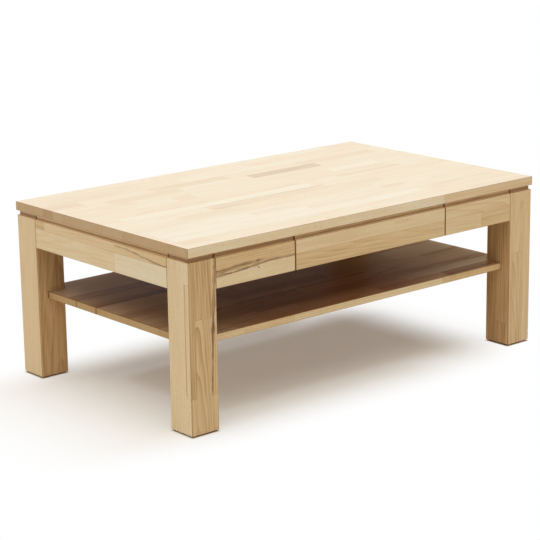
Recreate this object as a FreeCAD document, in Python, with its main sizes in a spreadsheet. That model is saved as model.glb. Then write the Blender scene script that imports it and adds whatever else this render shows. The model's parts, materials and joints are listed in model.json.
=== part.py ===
"""Storage coffee table in solid beech: a top over four legs and an apron ring, a lower shelf let into
the legs, and one drawer on ball-bearing slides in the long front side.

Millimetres. The floor is z = 0, the origin is below the middle of the top, and the drawer faces -Y.
"""
import FreeCAD
import Part
import Sketcher
import math
import os
from types import SimpleNamespace

# Driving sizes, one cell of the sheet each
SIZES = {
    # whole table
    "table_length": 1150,
    "table_depth": 700,
    "table_height": 450,
    "top_thickness": 23,
    "top_overhang": 2,
    "top_edge_bevel": 1.2,
    # shadow gap under the top
    "gap_height": 11.5,
    "gap_depth": 5,
    # legs
    "leg_width": 80,
    "leg_boss_gap": 7,
    "leg_edge_bevel": 1.2,
    "leg_foot_bevel": 2,
    "glide_radius": 18,
    "glide_height": 3,
    "glide_pin_radius": 2.5,
    "glide_pin_length": 15,
    # aprons
    "apron_height": 73,
    "apron_thickness": 22,
    "apron_edge_bevel": 0.8,
    "dowel_radius": 4,
    "dowel_depth": 20,
    "cheek_dowel_depth": 12,
    # shelf
    "shelf_level": 224,
    "shelf_thickness": 18,
    "shelf_inset": 31,
    "shelf_slot_gap": 2.5,
    "shelf_edge_bevel": 1.2,
    # corner braces and their hardware
    "brace_thickness": 25,
    "brace_height": 50,
    "brace_rise": 12,
    "brace_leg_gap": 3,
    "brace_screw_seat": 12,
    "brace_screw_setback": 8,
    "bolt_radius": 4,
    "bolt_in_leg": 45,
    "bolt_tail": 4,
    "bolt_hole_play": 0.5,
    "washer_radius": 12,
    "washer_thickness": 1.6,
    "nut_corner_radius": 7.5,
    "nut_height": 6.5,
    # angle brackets under the top
    "bracket_leg": 26,
    "bracket_width": 20,
    "bracket_steel": 2,
    # screws
    "screw_radius": 2,
    "screw_head_radius": 3.6,
    "screw_head_height": 2.2,
    "screw_bite": 13,
    # drawer opening and drawer front
    "opening_width": 507,
    "front_side_gap": 3.5,
    "front_top_gap": 2,
    "front_thickness": 22,
    "front_edge_bevel": 0.8,
    "pull_height": 16,
    "pull_depth": 10,
    "cheek_thickness": 18,
    "cheek_rise": 14,
    # drawer box
    "box_rise": 16,
    "box_height": 58,
    "box_wall": 13,
    "bottom_thickness": 5,
    "bottom_rise": 6,
    "bottom_groove": 6,
    # ball-bearing slides
    "slide_space": 12.7,
    "slide_length": 450,
    "slide_setback": 10,
    "slide_height": 35,
    "slide_steel": 1.2,
    "slide_travel": 300,
    "slide_screw_radius": 1.75,
    "slide_screw_head_radius": 3,
    "slide_screw_head_height": 1.8,
    "slide_screw_bite": 9,
    "ball_radius": 2,
    "cage_steel": 0.5,
    "cage_margin": 5,
    # clearances, and how far a cut runs past the face that it opens
    "fit_clearance": 0.2,
    "thread_clearance": 0.1,
    "running_clearance": 0.3,
    "cut_overrun": 2,
}

# Counts and shares
DRAWER_FINGERS = 5
NUT_SIDES = 6
BALL_ROW_SHARES = (-0.4, -0.2, 0, 0.2, 0.4)
DOWEL_HEIGHT_SHARES = (0.3, 0.75)
BRACE_SCREW_SHARES = (0.28, 0.72)
END_BRACKET_SHARES = (0.35, 0.65)
BRACKET_HOLE_SHARE = 0.6
SLIDE_SCREW_SHARES = (-0.42, 0, 0.42)
FRONT_SCREW_LENGTH_SHARES = (-0.3, 0.3)
FRONT_SCREW_HEIGHT_SHARES = (0.35, 0.75)
DIAGONAL = math.sqrt(2)

# Small pegs, screws, balls and the holes for them have eight flats, which keeps their facets few
SIDES = 8
CORNER_OVER_FLAT = 1 / math.cos(math.pi / SIDES)

# The four corners of the table, turned a quarter each from the front left one
CORNERS = ("front_left", "front_right", "rear_right", "rear_left")
QUARTER = 90
FULL_TURN = 360
UP = (0, 0, 1)
SAME = 1e-6

document = FreeCAD.newDocument("StorageCoffeeTable")
sheet = document.addObject("Spreadsheet::Sheet", "sizes")
subparts = []


class Size:
    """A length with its value and the formula over the sheet's cells that gives it."""

    def __init__(self, value, formula):
        self.value = value
        self.formula = formula

    def __add__(self, other):
        return Size(self.value + value_of(other), f"({self.formula} + {formula_of(other)})")

    def __sub__(self, other):
        return Size(self.value - value_of(other), f"({self.formula} - {formula_of(other)})")

    def __mul__(self, factor):
        return Size(self.value * factor, f"({self.formula} * {factor!r})")

    def __truediv__(self, divisor):
        return Size(self.value / divisor, f"({self.formula} / {divisor!r})")

    def __neg__(self):
        return self * -1


def value_of(length):
    return length.value if isinstance(length, Size) else length


def formula_of(length):
    return length.formula if isinstance(length, Size) else repr(length)


def read_sizes():
    """Write the driving sizes into the sheet and hand them back by name."""
    for row, (alias, value) in enumerate(SIZES.items(), start=1):
        sheet.set(f"A{row}", alias)
        sheet.set(f"B{row}", str(value))
        sheet.setAlias(f"B{row}", alias)
    document.recompute()
    return SimpleNamespace(**{alias: Size(sheet.get(alias), f"sizes.{alias}") for alias in SIZES})


size = read_sizes()

# Levels and faces that several pieces share
top_underside = size.table_height - size.top_thickness
shoulder = top_underside - size.gap_height
apron_bottom = shoulder - size.apron_height
apron_board = size.apron_height + size.gap_height
leg_face_x = size.table_length / 2 - size.top_overhang
leg_face_y = size.table_depth / 2 - size.top_overhang
leg_inner_x = leg_face_x - size.leg_width
leg_inner_y = leg_face_y - size.leg_width
apron_inner_y = leg_face_y - size.apron_thickness
opening_half = size.opening_width / 2
front_apron_length = leg_inner_x - opening_half
shelf_bottom = size.shelf_level - size.shelf_thickness
brace_near = size.leg_width * 2 + size.brace_leg_gap * DIAGONAL
brace_far = brace_near + size.brace_thickness * DIAGONAL
brace_bottom = apron_bottom + size.brace_rise
bolt_level = brace_bottom + size.brace_height / 2
brace_screw_place = brace_near - size.apron_thickness + size.brace_screw_setback
bracket_place = (brace_far - size.apron_thickness - size.leg_width + front_apron_length
                 - size.cheek_thickness) / 2
bracket_hole = size.bracket_leg * BRACKET_HOLE_SHARE
box_bottom = apron_bottom + size.box_rise
box_half = opening_half - size.slide_space
box_front = size.front_thickness - leg_face_y
box_depth = size.slide_length + size.slide_setback * 2
box_middle = box_front + box_depth / 2
slide_level = box_bottom + size.box_height / 2
finger_height = size.box_height / DRAWER_FINGERS
bottom_reach = size.box_wall - size.bottom_groove


# Building blocks

def bind(target, property_name, length):
    """Tie one property to the sheet."""
    target.setExpression(property_name, formula_of(length))


def place(piece, point, rotation=None):
    """Put a piece's own origin at a point, after turning it."""
    piece.Placement = FreeCAD.Placement(FreeCAD.Vector(), rotation or FreeCAD.Rotation())
    for axis, length in zip("xyz", point):
        bind(piece, f"Placement.Base.{axis}", length)
    return piece


def quarter_turn(count):
    return FreeCAD.Rotation(FreeCAD.Vector(*UP), QUARTER * count)


def facing(direction):
    """The rotation that lays a piece's own Z axis along a direction."""
    return FreeCAD.Rotation(FreeCAD.Vector(*UP), FreeCAD.Vector(*direction))


def new_body(label):
    body = document.addObject("PartDesign::Body", label)
    body.Label = label
    return body


def outline(body, role, points):
    """A closed outline of straight lines on one of the body's own planes."""
    sketch = body.newObject("Sketcher::SketchObject", f"{body.Name}_outline")
    plane = next(feature for feature in body.Origin.OriginFeatures if feature.Role == role)
    sketch.AttachmentSupport = (plane, [""])
    sketch.MapMode = "FlatFace"
    corners = [FreeCAD.Vector(value_of(x), value_of(y), 0) for x, y in points]
    count = len(corners)
    for index, corner in enumerate(corners):
        sketch.addGeometry(Part.LineSegment(corner, corners[(index + 1) % count]), False)
    for index in range(count):
        sketch.addConstraint(Sketcher.Constraint("Coincident", index, 2, (index + 1) % count, 1))
    for index, point in enumerate(points):
        for kind, axis, length in zip(("DistanceX", "DistanceY"), (-2, -1), point):
            if value_of(length) == 0:
                sketch.addConstraint(Sketcher.Constraint("PointOnObject", index, 1, axis))
            else:
                held = Sketcher.Constraint(kind, -1, 1, index, 1, value_of(length))
                bind(sketch, f"Constraints[{sketch.addConstraint(held)}]", length)
    return sketch


def pad(body, role, points, length, backwards=False):
    """Extrude an outline away from its plane."""
    feature = body.newObject("PartDesign::Pad", f"{body.Name}_pad")
    feature.Profile = outline(body, role, points)
    feature.Reversed = backwards
    bind(feature, "Length", length)
    document.recompute()
    return body


def turn(body, half_section):
    """Revolve a half section of radius and height about the body's Z axis."""
    section = outline(body, "XZ_Plane", half_section)
    feature = body.newObject("PartDesign::Revolution", f"{body.Name}_turn")
    feature.Profile = section
    feature.ReferenceAxis = (section, ["V_Axis"])
    feature.Angle = FULL_TURN
    document.recompute()
    return body


def box_feature(body, kind, low, high):
    """Add or cut a block between two corners of the body's own frame."""
    feature = body.newObject(f"PartDesign::{kind}Box", f"{body.Name}_block")
    for name, start, end in zip(("Length", "Width", "Height"), low, high):
        bind(feature, name, end - start if isinstance(end, Size) else -(start - end))
    return place(feature, low)


def shape_peg(prism, radius, length):
    """Give a prism its eight flats, which lie at the radius, and its length."""
    prism.Polygon = SIDES
    bind(prism, "Circumradius", radius * CORNER_OVER_FLAT)
    bind(prism, "Height", length)
    return prism


def bore(body, radius, depth, start, direction):
    """Cut a hole from a point along a direction."""
    feature = body.newObject("PartDesign::SubtractivePrism", f"{body.Name}_bore")
    return place(shape_peg(feature, radius, depth), start, facing(direction))


def peg(label, radius, length):
    """A plain peg along +Z from its own origin."""
    return shape_peg(document.addObject("Part::Prism", label), radius, length)


def bevel(body, amount, chosen):
    """Ease the edges of the body that a test chooses."""
    document.recompute()
    base = body.Tip
    edges = enumerate(base.Shape.Edges, start=1)
    names = [f"Edge{index}" for index, edge in edges if chosen(edge.BoundBox)]
    feature = body.newObject("PartDesign::Chamfer", f"{body.Name}_bevel")
    feature.Base = (base, names)
    bind(feature, "Size", amount)
    document.recompute()


def near(measured, wanted):
    return math.isclose(measured, value_of(wanted), abs_tol=SAME)


def finished(piece):
    subparts.append(piece)
    return piece


def group(label, template, seats):
    """Copies of one template, each at its own point and rotation, as one node of separate solids."""
    copies = []
    for point, rotation in seats:
        copy = document.addObject("App::Link", f"{label}_copy")
        copy.LinkedObject = template
        copy.LinkTransform = False
        copies.append(place(copy, point, rotation))
    compound = document.addObject("Part::Compound", label)
    compound.Label = label
    compound.Links = copies
    return finished(compound)


def in_corner(quarters, along, inward, level):
    """A point given from a corner's outer edge: along its first side, then in along the next one."""
    cosine, sine, _ = turned((1, 0, 0), quarters)
    side_x, side_y, _ = turned((-1, -1, 0), quarters)
    return (leg_face_x * side_x + along * cosine - inward * sine,
            leg_face_y * side_y + along * sine + inward * cosine, level)


def turned(direction, quarters):
    """A direction after some quarter turns about Z."""
    return tuple(round(part) for part in quarter_turn(quarters).multVec(FreeCAD.Vector(*direction)))


# The wooden frame

def table_top():
    body = new_body("table_top")
    corners = ((0, 0), (size.table_length, 0), (size.table_length, size.table_depth), (0, size.table_depth))
    pad(body, "XY_Plane", corners, size.top_thickness)
    bevel(body, size.top_edge_bevel, lambda edge: True)
    for point, direction in bracket_screw_seats():
        if direction == UP:
            x, y, _ = point
            seat = (x + size.table_length / 2, y + size.table_depth / 2, 0)
            bore(body, size.screw_radius + size.thread_clearance, size.screw_bite, seat, UP)
    return finished(place(body, (-size.table_length / 2, -size.table_depth / 2, top_underside)))


def leg(corner, quarters):
    """A square post. Its own origin is the lower end of the outer edge, with both inner faces at +X and +Y."""
    body = new_body(f"leg_{corner}")
    width = size.leg_width
    height = shoulder - size.glide_height
    pad(body, "XY_Plane", ((0, 0), (width, 0), (width, width), (0, width)), height)
    bevel(body, size.leg_edge_bevel, lambda edge: near(edge.ZLength, height))
    bevel(body, size.leg_foot_bevel, lambda edge: near(edge.ZMax, 0))
    boss_end = width - size.leg_boss_gap
    boss_top = height + size.gap_height
    box_feature(body, "Additive", (size.gap_depth, size.gap_depth, height), (boss_end, boss_end, boss_top))
    slot = size.shelf_inset - size.shelf_slot_gap
    slot_bottom = shelf_bottom - size.glide_height
    slot_top = slot_bottom + size.shelf_thickness + size.fit_clearance
    slot_end = width + size.cut_overrun
    box_feature(body, "Subtractive", (slot, slot, slot_bottom), (slot_end, slot_end, slot_top))
    for share in DOWEL_HEIGHT_SHARES:
        level = apron_bottom + size.apron_height * share - size.glide_height
        radius = size.dowel_radius + size.thread_clearance
        bore(body, radius, size.dowel_depth, (width, size.apron_thickness / 2, level), (-1, 0, 0))
        bore(body, radius, size.dowel_depth, (size.apron_thickness / 2, width, level), (0, -1, 0))
    bolt_start = width + size.cut_overrun / DIAGONAL
    bore(body, size.bolt_radius + size.thread_clearance, size.bolt_in_leg + size.cut_overrun,
         (bolt_start, bolt_start, bolt_level - size.glide_height), (-1, -1, 0))
    bore(body, size.glide_pin_radius + size.thread_clearance, size.glide_pin_length,
         (width / 2, width / 2, 0), UP)
    return finished(place(body, in_corner(quarters, 0, 0, size.glide_height), quarter_turn(quarters)))


def apron(label, length, leg_ends, bracket_places, cheek_places, start, quarters):
    """A board with a rebate along its top outer edge, which leaves the tongue in the shadow gap.
    Its own frame runs along the length, inward from the outer face and up from the lower edge."""
    body = new_body(label)
    thickness = size.apron_thickness
    section = ((0, 0), (thickness, 0), (thickness, apron_board), (size.gap_depth, apron_board),
               (size.gap_depth, size.apron_height), (0, size.apron_height))
    pad(body, "YZ_Plane", section, length)
    free_ends = [end for end in (0, length) if value_of(end) not in [value_of(held) for held in leg_ends]]
    bevel(body, size.apron_edge_bevel, lambda edge: eased_edge(edge, length, free_ends))
    dowel_hole = size.dowel_radius + size.thread_clearance
    pilot_hole = size.screw_radius + size.thread_clearance
    for end in leg_ends:
        outward = 1 if value_of(end) == 0 else -1
        for share in DOWEL_HEIGHT_SHARES:
            bore(body, dowel_hole, size.dowel_depth, (end, thickness / 2, size.apron_height * share),
                 (outward, 0, 0))
        for share in BRACE_SCREW_SHARES:
            along = (brace_screw_place - size.leg_width) * outward
            level = size.brace_rise + size.brace_height * share
            bore(body, pilot_hole, size.screw_bite, (along + end, thickness, level), (0, -1, 0))
    for along in bracket_places:
        bore(body, pilot_hole, size.screw_bite, (along, thickness, apron_board - bracket_hole), (0, -1, 0))
    for along in cheek_places:
        for share in DOWEL_HEIGHT_SHARES:
            level = size.cheek_rise + (apron_board - size.cheek_rise) * share
            bore(body, dowel_hole, size.cheek_dowel_depth, (along, thickness, level), (0, -1, 0))
    return finished(place(body, start, quarter_turn(quarters)))


def eased_edge(edge, length, free_ends):
    """The long edges of an apron's outer face and lower side, and the upright ones at a free end."""
    if near(edge.XLength, length):
        return near(edge.ZMax, 0) or (near(edge.ZMin, size.apron_height) and near(edge.YMax, 0))
    at_free_end = any(near(edge.XMin, end) and near(edge.XMax, end) for end in free_ends)
    return at_free_end and near(edge.YMax, 0) and near(edge.ZMin, 0)


def aprons():
    end_length = leg_inner_y * 2
    rear_length = leg_inner_x * 2
    cheek_middle = opening_half + size.cheek_thickness / 2
    end_brackets = [end_length * share for share in END_BRACKET_SHARES]
    rear_brackets = [bracket_place, rear_length - bracket_place]
    rear_cheeks = [leg_inner_x - cheek_middle, leg_inner_x + cheek_middle]
    apron("apron_front_left", front_apron_length, [0], [bracket_place],
          [front_apron_length - size.cheek_thickness / 2], (-leg_inner_x, -leg_face_y, apron_bottom), 0)
    apron("apron_front_right", front_apron_length, [front_apron_length],
          [front_apron_length - bracket_place], [size.cheek_thickness / 2],
          (opening_half, -leg_face_y, apron_bottom), 0)
    apron("apron_right", end_length, [0, end_length], end_brackets, [],
          (leg_face_x, -leg_inner_y, apron_bottom), 1)
    apron("apron_rear", rear_length, [0, rear_length], rear_brackets, rear_cheeks,
          (leg_inner_x, leg_face_y, apron_bottom), 2)
    apron("apron_left", end_length, [0, end_length], end_brackets, [],
          (-leg_face_x, leg_inner_y, apron_bottom), 3)


def shelf():
    body = new_body("shelf")
    half_x = leg_face_x - size.shelf_inset
    half_y = leg_face_y - size.shelf_inset
    corners = ((0, 0), (half_x * 2, 0), (half_x * 2, half_y * 2), (0, half_y * 2))
    pad(body, "XY_Plane", corners, size.shelf_thickness)
    bevel(body, size.shelf_edge_bevel, lambda edge: True)
    return finished(place(body, (-half_x, -half_y, shelf_bottom)))


def drawer_cheek(side, sign):
    """A board behind the front apron, which carries the outer rail of one slide."""
    body = new_body(f"drawer_cheek_{side}")
    length = apron_inner_y * 2
    height = apron_board - size.cheek_rise
    thickness = size.cheek_thickness
    pad(body, "XY_Plane", ((0, 0), (thickness, 0), (thickness, length), (0, length)), height)
    for share in DOWEL_HEIGHT_SHARES:
        for end, outward in ((0, 1), (length, -1)):
            bore(body, size.dowel_radius + size.thread_clearance, size.dowel_depth,
                 (thickness / 2, end, height * share), (0, outward, 0))
    rail_face = thickness if sign < 0 else 0
    level = slide_level - apron_bottom - size.cheek_rise
    for share in SLIDE_SCREW_SHARES:
        along = box_middle + apron_inner_y + size.slide_length * share
        bore(body, size.slide_screw_radius + size.thread_clearance, size.slide_screw_bite,
             (rail_face, along, level), (sign, 0, 0))
    left_face = -opening_half - thickness if sign < 0 else opening_half
    return finished(place(body, (left_face, -apron_inner_y, apron_bottom + size.cheek_rise)))


def corner_brace(corner, quarters):
    """A block across a corner, cut to 45 degrees at both ends, in the same frame as the corner's leg."""
    body = new_body(f"corner_brace_{corner}")
    inner = size.apron_thickness
    near_end = brace_near - inner
    far_end = brace_far - inner
    pad(body, "XY_Plane", ((inner, near_end), (near_end, inner), (far_end, inner), (inner, far_end)),
        size.brace_height)
    middle = size.brace_height / 2
    bore(body, size.bolt_radius + size.bolt_hole_play, size.brace_leg_gap + size.brace_thickness * 2,
         (size.leg_width, size.leg_width, middle), (1, 1, 0))
    seat = inner + size.brace_screw_seat
    for share in BRACE_SCREW_SHARES:
        level = size.brace_height * share
        for point, pocket, direction in (
                ((inner, brace_screw_place, level), (seat, brace_screw_place, level), (1, 0, 0)),
                ((brace_screw_place, inner, level), (brace_screw_place, seat, level), (0, 1, 0))):
            bore(body, size.screw_radius + size.fit_clearance, size.brace_screw_seat, point, direction)
            bore(body, size.screw_head_radius + size.fit_clearance, size.brace_thickness, pocket, direction)
    return finished(place(body, in_corner(quarters, 0, 0, brace_bottom), quarter_turn(quarters)))


# Hardware of the frame

def screw(label, radius, head_radius, head_height, length):
    """A screw along +Z, whose head starts at its own origin and whose shank starts under the head."""
    body = new_body(label)
    shape_peg(body.newObject("PartDesign::AdditivePrism", f"{label}_head"), head_radius, head_height)
    shank = body.newObject("PartDesign::AdditivePrism", f"{label}_shank")
    place(shape_peg(shank, radius, length), (0, 0, head_height))
    return body


def head_first(point, direction, head_height):
    """The start of a screw whose head rests on a point and whose shank runs along a direction."""
    return tuple(length - head_height * part if part else length for length, part in zip(point, direction))


def foot_glides():
    section = ((0, 0), (size.glide_radius, 0), (size.glide_radius, size.glide_height), (0, size.glide_height))
    template = turn(new_body("foot_glide"), section)
    pin = template.newObject("PartDesign::AdditivePrism", "foot_glide_pin")
    place(shape_peg(pin, size.glide_pin_radius, size.glide_pin_length), (0, 0, size.glide_height))
    middle = size.leg_width / 2
    seats = [(in_corner(quarters, middle, middle, 0), None) for quarters, _ in enumerate(CORNERS)]
    group("foot_glides", template, seats)


def apron_dowels():
    """Dowels across the joint between each leg and each apron that meets it."""
    template = peg("apron_dowel", size.dowel_radius, size.dowel_depth * 2)
    seats = []
    for quarters, _ in enumerate(CORNERS):
        for share in DOWEL_HEIGHT_SHARES:
            level = apron_bottom + size.apron_height * share
            low = size.leg_width - size.dowel_depth
            middle = size.apron_thickness / 2
            for along, inward, direction in ((low, middle, (1, 0, 0)), (middle, low, (0, 1, 0))):
                seats.append((in_corner(quarters, along, inward, level), facing(turned(direction, quarters))))
    group("apron_dowels", template, seats)


def cheek_dowels():
    """Dowels from the cheeks' ends into the front aprons and the rear apron."""
    template = peg("cheek_dowel", size.dowel_radius, size.dowel_depth + size.cheek_dowel_depth)
    seats = []
    cheek_middle = opening_half + size.cheek_thickness / 2
    for share in DOWEL_HEIGHT_SHARES:
        level = apron_bottom + size.cheek_rise + (apron_board - size.cheek_rise) * share
        for across in (-1, 1):
            for sign in (-1, 1):
                start = (apron_inner_y + size.cheek_dowel_depth) * sign
                seats.append(((cheek_middle * across, start, level), facing((0, -sign, 0))))
    group("cheek_dowels", template, seats)


def brace_screws():
    template = screw("brace_screw", size.screw_radius, size.screw_head_radius, size.screw_head_height,
                     size.brace_screw_seat + size.screw_bite)
    seats = []
    head = size.apron_thickness + size.brace_screw_seat + size.screw_head_height
    for quarters, _ in enumerate(CORNERS):
        for share in BRACE_SCREW_SHARES:
            level = brace_bottom + size.brace_height * share
            for along, inward, direction in ((head, brace_screw_place, (-1, 0, 0)),
                                             (brace_screw_place, head, (0, -1, 0))):
                seats.append((in_corner(quarters, along, inward, level), facing(turned(direction, quarters))))
    group("brace_screws", template, seats)


def bolt_seats(distance):
    """The four places at a distance from the legs' inner edges, out along the diagonals."""
    place_along = size.leg_width + distance / DIAGONAL
    return [(in_corner(quarters, place_along, place_along, bolt_level), facing(turned((1, 1, 0), quarters)))
            for quarters, _ in enumerate(CORNERS)]


def hanger_bolts():
    """A bolt along each corner's diagonal, screwed into the leg and drawn tight on the brace by a nut."""
    washer_seat = size.brace_leg_gap + size.brace_thickness
    nut_seat = washer_seat + size.washer_thickness
    bolt_end = nut_seat + size.nut_height + size.bolt_tail
    template = peg("hanger_bolt", size.bolt_radius, size.bolt_in_leg + bolt_end)
    group("hanger_bolts", template, bolt_seats(-size.bolt_in_leg))

    inner = size.bolt_radius * CORNER_OVER_FLAT + size.bolt_hole_play
    ring = ((inner, 0), (size.washer_radius, 0), (size.washer_radius, size.washer_thickness),
            (inner, size.washer_thickness))
    group("hanger_bolt_washers", turn(new_body("hanger_bolt_washer"), ring), bolt_seats(washer_seat))

    hexagon = document.addObject("Part::Prism", "hanger_bolt_nut_blank")
    hexagon.Polygon = NUT_SIDES
    bind(hexagon, "Circumradius", size.nut_corner_radius)
    bind(hexagon, "Height", size.nut_height)
    thread = peg("hanger_bolt_nut_thread", size.bolt_radius + size.thread_clearance, size.nut_height)
    nut = document.addObject("Part::Cut", "hanger_bolt_nut")
    nut.Base = hexagon
    nut.Tool = thread
    group("hanger_bolt_nuts", nut, bolt_seats(nut_seat))


def bracket_seats():
    """Where each angle bracket's corner sits, under the top and against an apron, and its quarter turns."""
    end_length = leg_inner_y * 2
    seats = []
    for along in (bracket_place - leg_inner_x, leg_inner_x - bracket_place):
        seats.append(((along, -apron_inner_y, top_underside), 0))
        seats.append(((along, apron_inner_y, top_underside), 2))
    for share in END_BRACKET_SHARES:
        along = end_length * share - leg_inner_y
        apron_inner_x = leg_face_x - size.apron_thickness
        seats.append(((apron_inner_x, along, top_underside), 1))
        seats.append(((-apron_inner_x, -along, top_underside), 3))
    return seats


def bracket_screw_seats():
    """The points on the apron and on the top where the bracket screws enter, with their directions."""
    seats = []
    for (x, y, level), quarters in bracket_seats():
        inward = turned((0, 1, 0), quarters)
        reach_x = x + bracket_hole * inward[0]
        reach_y = y + bracket_hole * inward[1]
        seats.append(((reach_x, reach_y, level), UP))
        seats.append(((x, y, level - bracket_hole), tuple(-part for part in inward)))
    return seats


def top_brackets():
    """Steel angles whose own frame runs inward along +Y and down from the top's underside."""
    body = new_body("top_bracket")
    leg_length = size.bracket_leg
    steel = size.bracket_steel
    flat = leg_length - steel
    section = ((0, 0), (steel, 0), (steel, flat), (leg_length, flat), (leg_length, leg_length), (0, leg_length))
    pad(body, "YZ_Plane", section, size.bracket_width)
    hole = size.screw_radius + size.fit_clearance
    middle = size.bracket_width / 2
    bore(body, hole, leg_length, (middle, bracket_hole, 0), UP)
    bore(body, hole, leg_length, (middle, 0, leg_length - bracket_hole), (0, 1, 0))
    seats = []
    for (x, y, level), quarters in bracket_seats():
        sideways = turned((1, 0, 0), quarters)
        corner = (x - middle * sideways[0], y - middle * sideways[1], level - leg_length)
        seats.append((corner, quarter_turn(quarters)))
    group("top_brackets", body, seats)


def top_bracket_screws():
    template = screw("top_bracket_screw", size.screw_radius, size.screw_head_radius, size.screw_head_height,
                     size.bracket_steel + size.screw_bite)
    under_head = size.bracket_steel + size.screw_head_height
    seats = [(head_first(point, direction, under_head), facing(direction))
             for point, direction in bracket_screw_seats()]
    group("top_bracket_screws", template, seats)


# The drawer

def drawer_front():
    """The front panel: the aprons' rebate along its top, and a bevel behind its lower edge for the fingers."""
    body = new_body("drawer_front")
    thickness = size.front_thickness
    length = size.opening_width - size.front_side_gap * 2
    top = apron_board - size.front_top_gap
    section = ((0, 0), (thickness - size.pull_depth, 0), (thickness, size.pull_height), (thickness, top),
               (size.gap_depth, top), (size.gap_depth, size.apron_height), (0, size.apron_height))
    pad(body, "YZ_Plane", section, length)
    bevel(body, size.front_edge_bevel, lambda edge: eased_edge(edge, length, [0, length]))
    for x, level in front_screw_places():
        bore(body, size.screw_radius + size.thread_clearance, size.screw_bite,
             (x + length / 2, thickness, level - apron_bottom), (0, -1, 0))
    return finished(place(body, (-length / 2, -leg_face_y, apron_bottom)))


def front_screw_places():
    """Places across the drawer and levels of the screws that hold the front on its box."""
    inner = (box_half - size.box_wall) * 2
    return [(inner * across, box_bottom + size.box_height * up)
            for across in FRONT_SCREW_LENGTH_SHARES for up in FRONT_SCREW_HEIGHT_SHARES]


def comb(length, first_full):
    """The outline of a board with box-joint fingers at both ends, every second one cut back by a wall."""
    right = []
    left = []
    for index in range(DRAWER_FINGERS):
        full = (index % 2 == 0) == first_full
        low = finger_height * index if index else 0
        high = finger_height * (index + 1)
        end = length if full else length - size.box_wall
        start = 0 if full else size.box_wall
        right += [(end, low), (end, high)]
        left += [(start, low), (start, high)]
    return right + left[::-1]


def drawer_side(side, sign):
    body = new_body(f"drawer_side_{side}")
    wall = size.box_wall
    pad(body, "YZ_Plane", comb(box_depth, True), wall)
    groove_top = size.bottom_rise + size.bottom_thickness + size.fit_clearance
    box_feature(body, "Subtractive", (bottom_reach, bottom_reach, size.bottom_rise),
                (wall + size.cut_overrun, box_depth - bottom_reach, groove_top))
    for share in SLIDE_SCREW_SHARES:
        bore(body, size.slide_screw_radius + size.thread_clearance, size.slide_screw_bite,
             (0, box_depth / 2 + size.slide_length * share, size.box_height / 2), (1, 0, 0))
    end = box_front if sign < 0 else box_front + box_depth
    return finished(place(body, (box_half * sign, end, box_bottom), quarter_turn(0 if sign < 0 else 2)))


def drawer_end(label, quarters):
    """The inner front or the back of the drawer box, with its outer face on its own XZ plane."""
    body = new_body(label)
    wall = size.box_wall
    width = box_half * 2
    pad(body, "XZ_Plane", comb(width, False), wall, backwards=True)
    groove_top = size.bottom_rise + size.bottom_thickness + size.fit_clearance
    box_feature(body, "Subtractive", (bottom_reach, bottom_reach, size.bottom_rise),
                (width - bottom_reach, wall + size.cut_overrun, groove_top))
    if quarters == 0:
        for x, level in front_screw_places():
            bore(body, size.screw_radius + size.fit_clearance, wall, (x + box_half, 0, level - box_bottom),
                 (0, 1, 0))
    end = box_front if quarters == 0 else box_front + box_depth
    start = -box_half if quarters == 0 else box_half
    return finished(place(body, (start, end, box_bottom), quarter_turn(quarters)))


def drawer_bottom():
    panel = document.addObject("Part::Box", "drawer_bottom")
    panel.Label = "drawer_bottom"
    edge = bottom_reach + size.fit_clearance
    bind(panel, "Length", (box_half - edge) * 2)
    bind(panel, "Width", box_depth - edge * 2)
    bind(panel, "Height", size.bottom_thickness)
    return finished(place(panel, (edge - box_half, box_front + edge, box_bottom + size.bottom_rise)))


def drawer_front_screws():
    template = screw("drawer_front_screw", size.screw_radius, size.screw_head_radius, size.screw_head_height,
                     size.box_wall + size.screw_bite)
    head = box_front + size.box_wall + size.screw_head_height
    seats = [((x, head, level), facing((0, -1, 0))) for x, level in front_screw_places()]
    group("drawer_front_screws", template, seats)


# The ball-bearing slides. A rail's section is given by how far it stands from the cheek and by its height
# above the rail's lower edge; it lies along Y, with its own origin at the middle of its length.

rail_middle = size.slide_height / 2
cage_face = size.slide_steel + size.slide_screw_head_height + size.running_clearance
inner_lip = cage_face + size.cage_steel + size.running_clearance
outer_reach = size.slide_space - size.slide_steel - size.running_clearance
ball_across = (inner_lip + outer_reach) / 2
ball_rise = rail_middle - size.slide_steel - size.running_clearance - size.ball_radius
lip_room = size.cage_steel / 2 + size.running_clearance
cage_length = size.slide_length - size.slide_travel - size.cage_margin * 2
cage_middle = box_middle - size.slide_length / 2 + size.slide_travel / 2 + size.cage_margin + cage_length / 2


def slide_place(sign, y, level):
    """Place and rotation of a slide's piece: the right slide is the left one turned by half a turn."""
    return (opening_half * sign, y, level), quarter_turn(0 if sign < 0 else 2)


def mirrored_section(lower_half):
    """A channel's outline: its lower half from the back, then the same points above the middle."""
    upper_half = [(across, size.slide_height - up if value_of(up) else size.slide_height)
                  for across, up in reversed(lower_half)]
    return list(lower_half) + upper_half


def rail(label, lower_half, length):
    """A channel along Y, centred on its own origin."""
    body = new_body(label)
    pad(body, "XZ_Plane", mirrored_section(lower_half), length)
    return body


def slide_outer(side, sign):
    """The rail on the cheek: a channel whose lips keep the balls in."""
    steel = size.slide_steel
    lip_end = rail_middle - ball_rise - lip_room
    lower_half = ((0, 0), (outer_reach, 0), (outer_reach, lip_end), (outer_reach - steel, lip_end),
                  (outer_reach - steel, steel), (steel, steel))
    body = rail(f"slide_outer_{side}", lower_half, size.slide_length)
    for share in SLIDE_SCREW_SHARES:
        along = size.slide_length * share - size.slide_length / 2
        bore(body, size.slide_screw_radius + size.fit_clearance, steel, (0, along, rail_middle), (1, 0, 0))
    point, rotation = slide_place(sign, box_middle + size.slide_length / 2 * -sign, slide_level - rail_middle)
    return finished(place(body, point, rotation))


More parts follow.
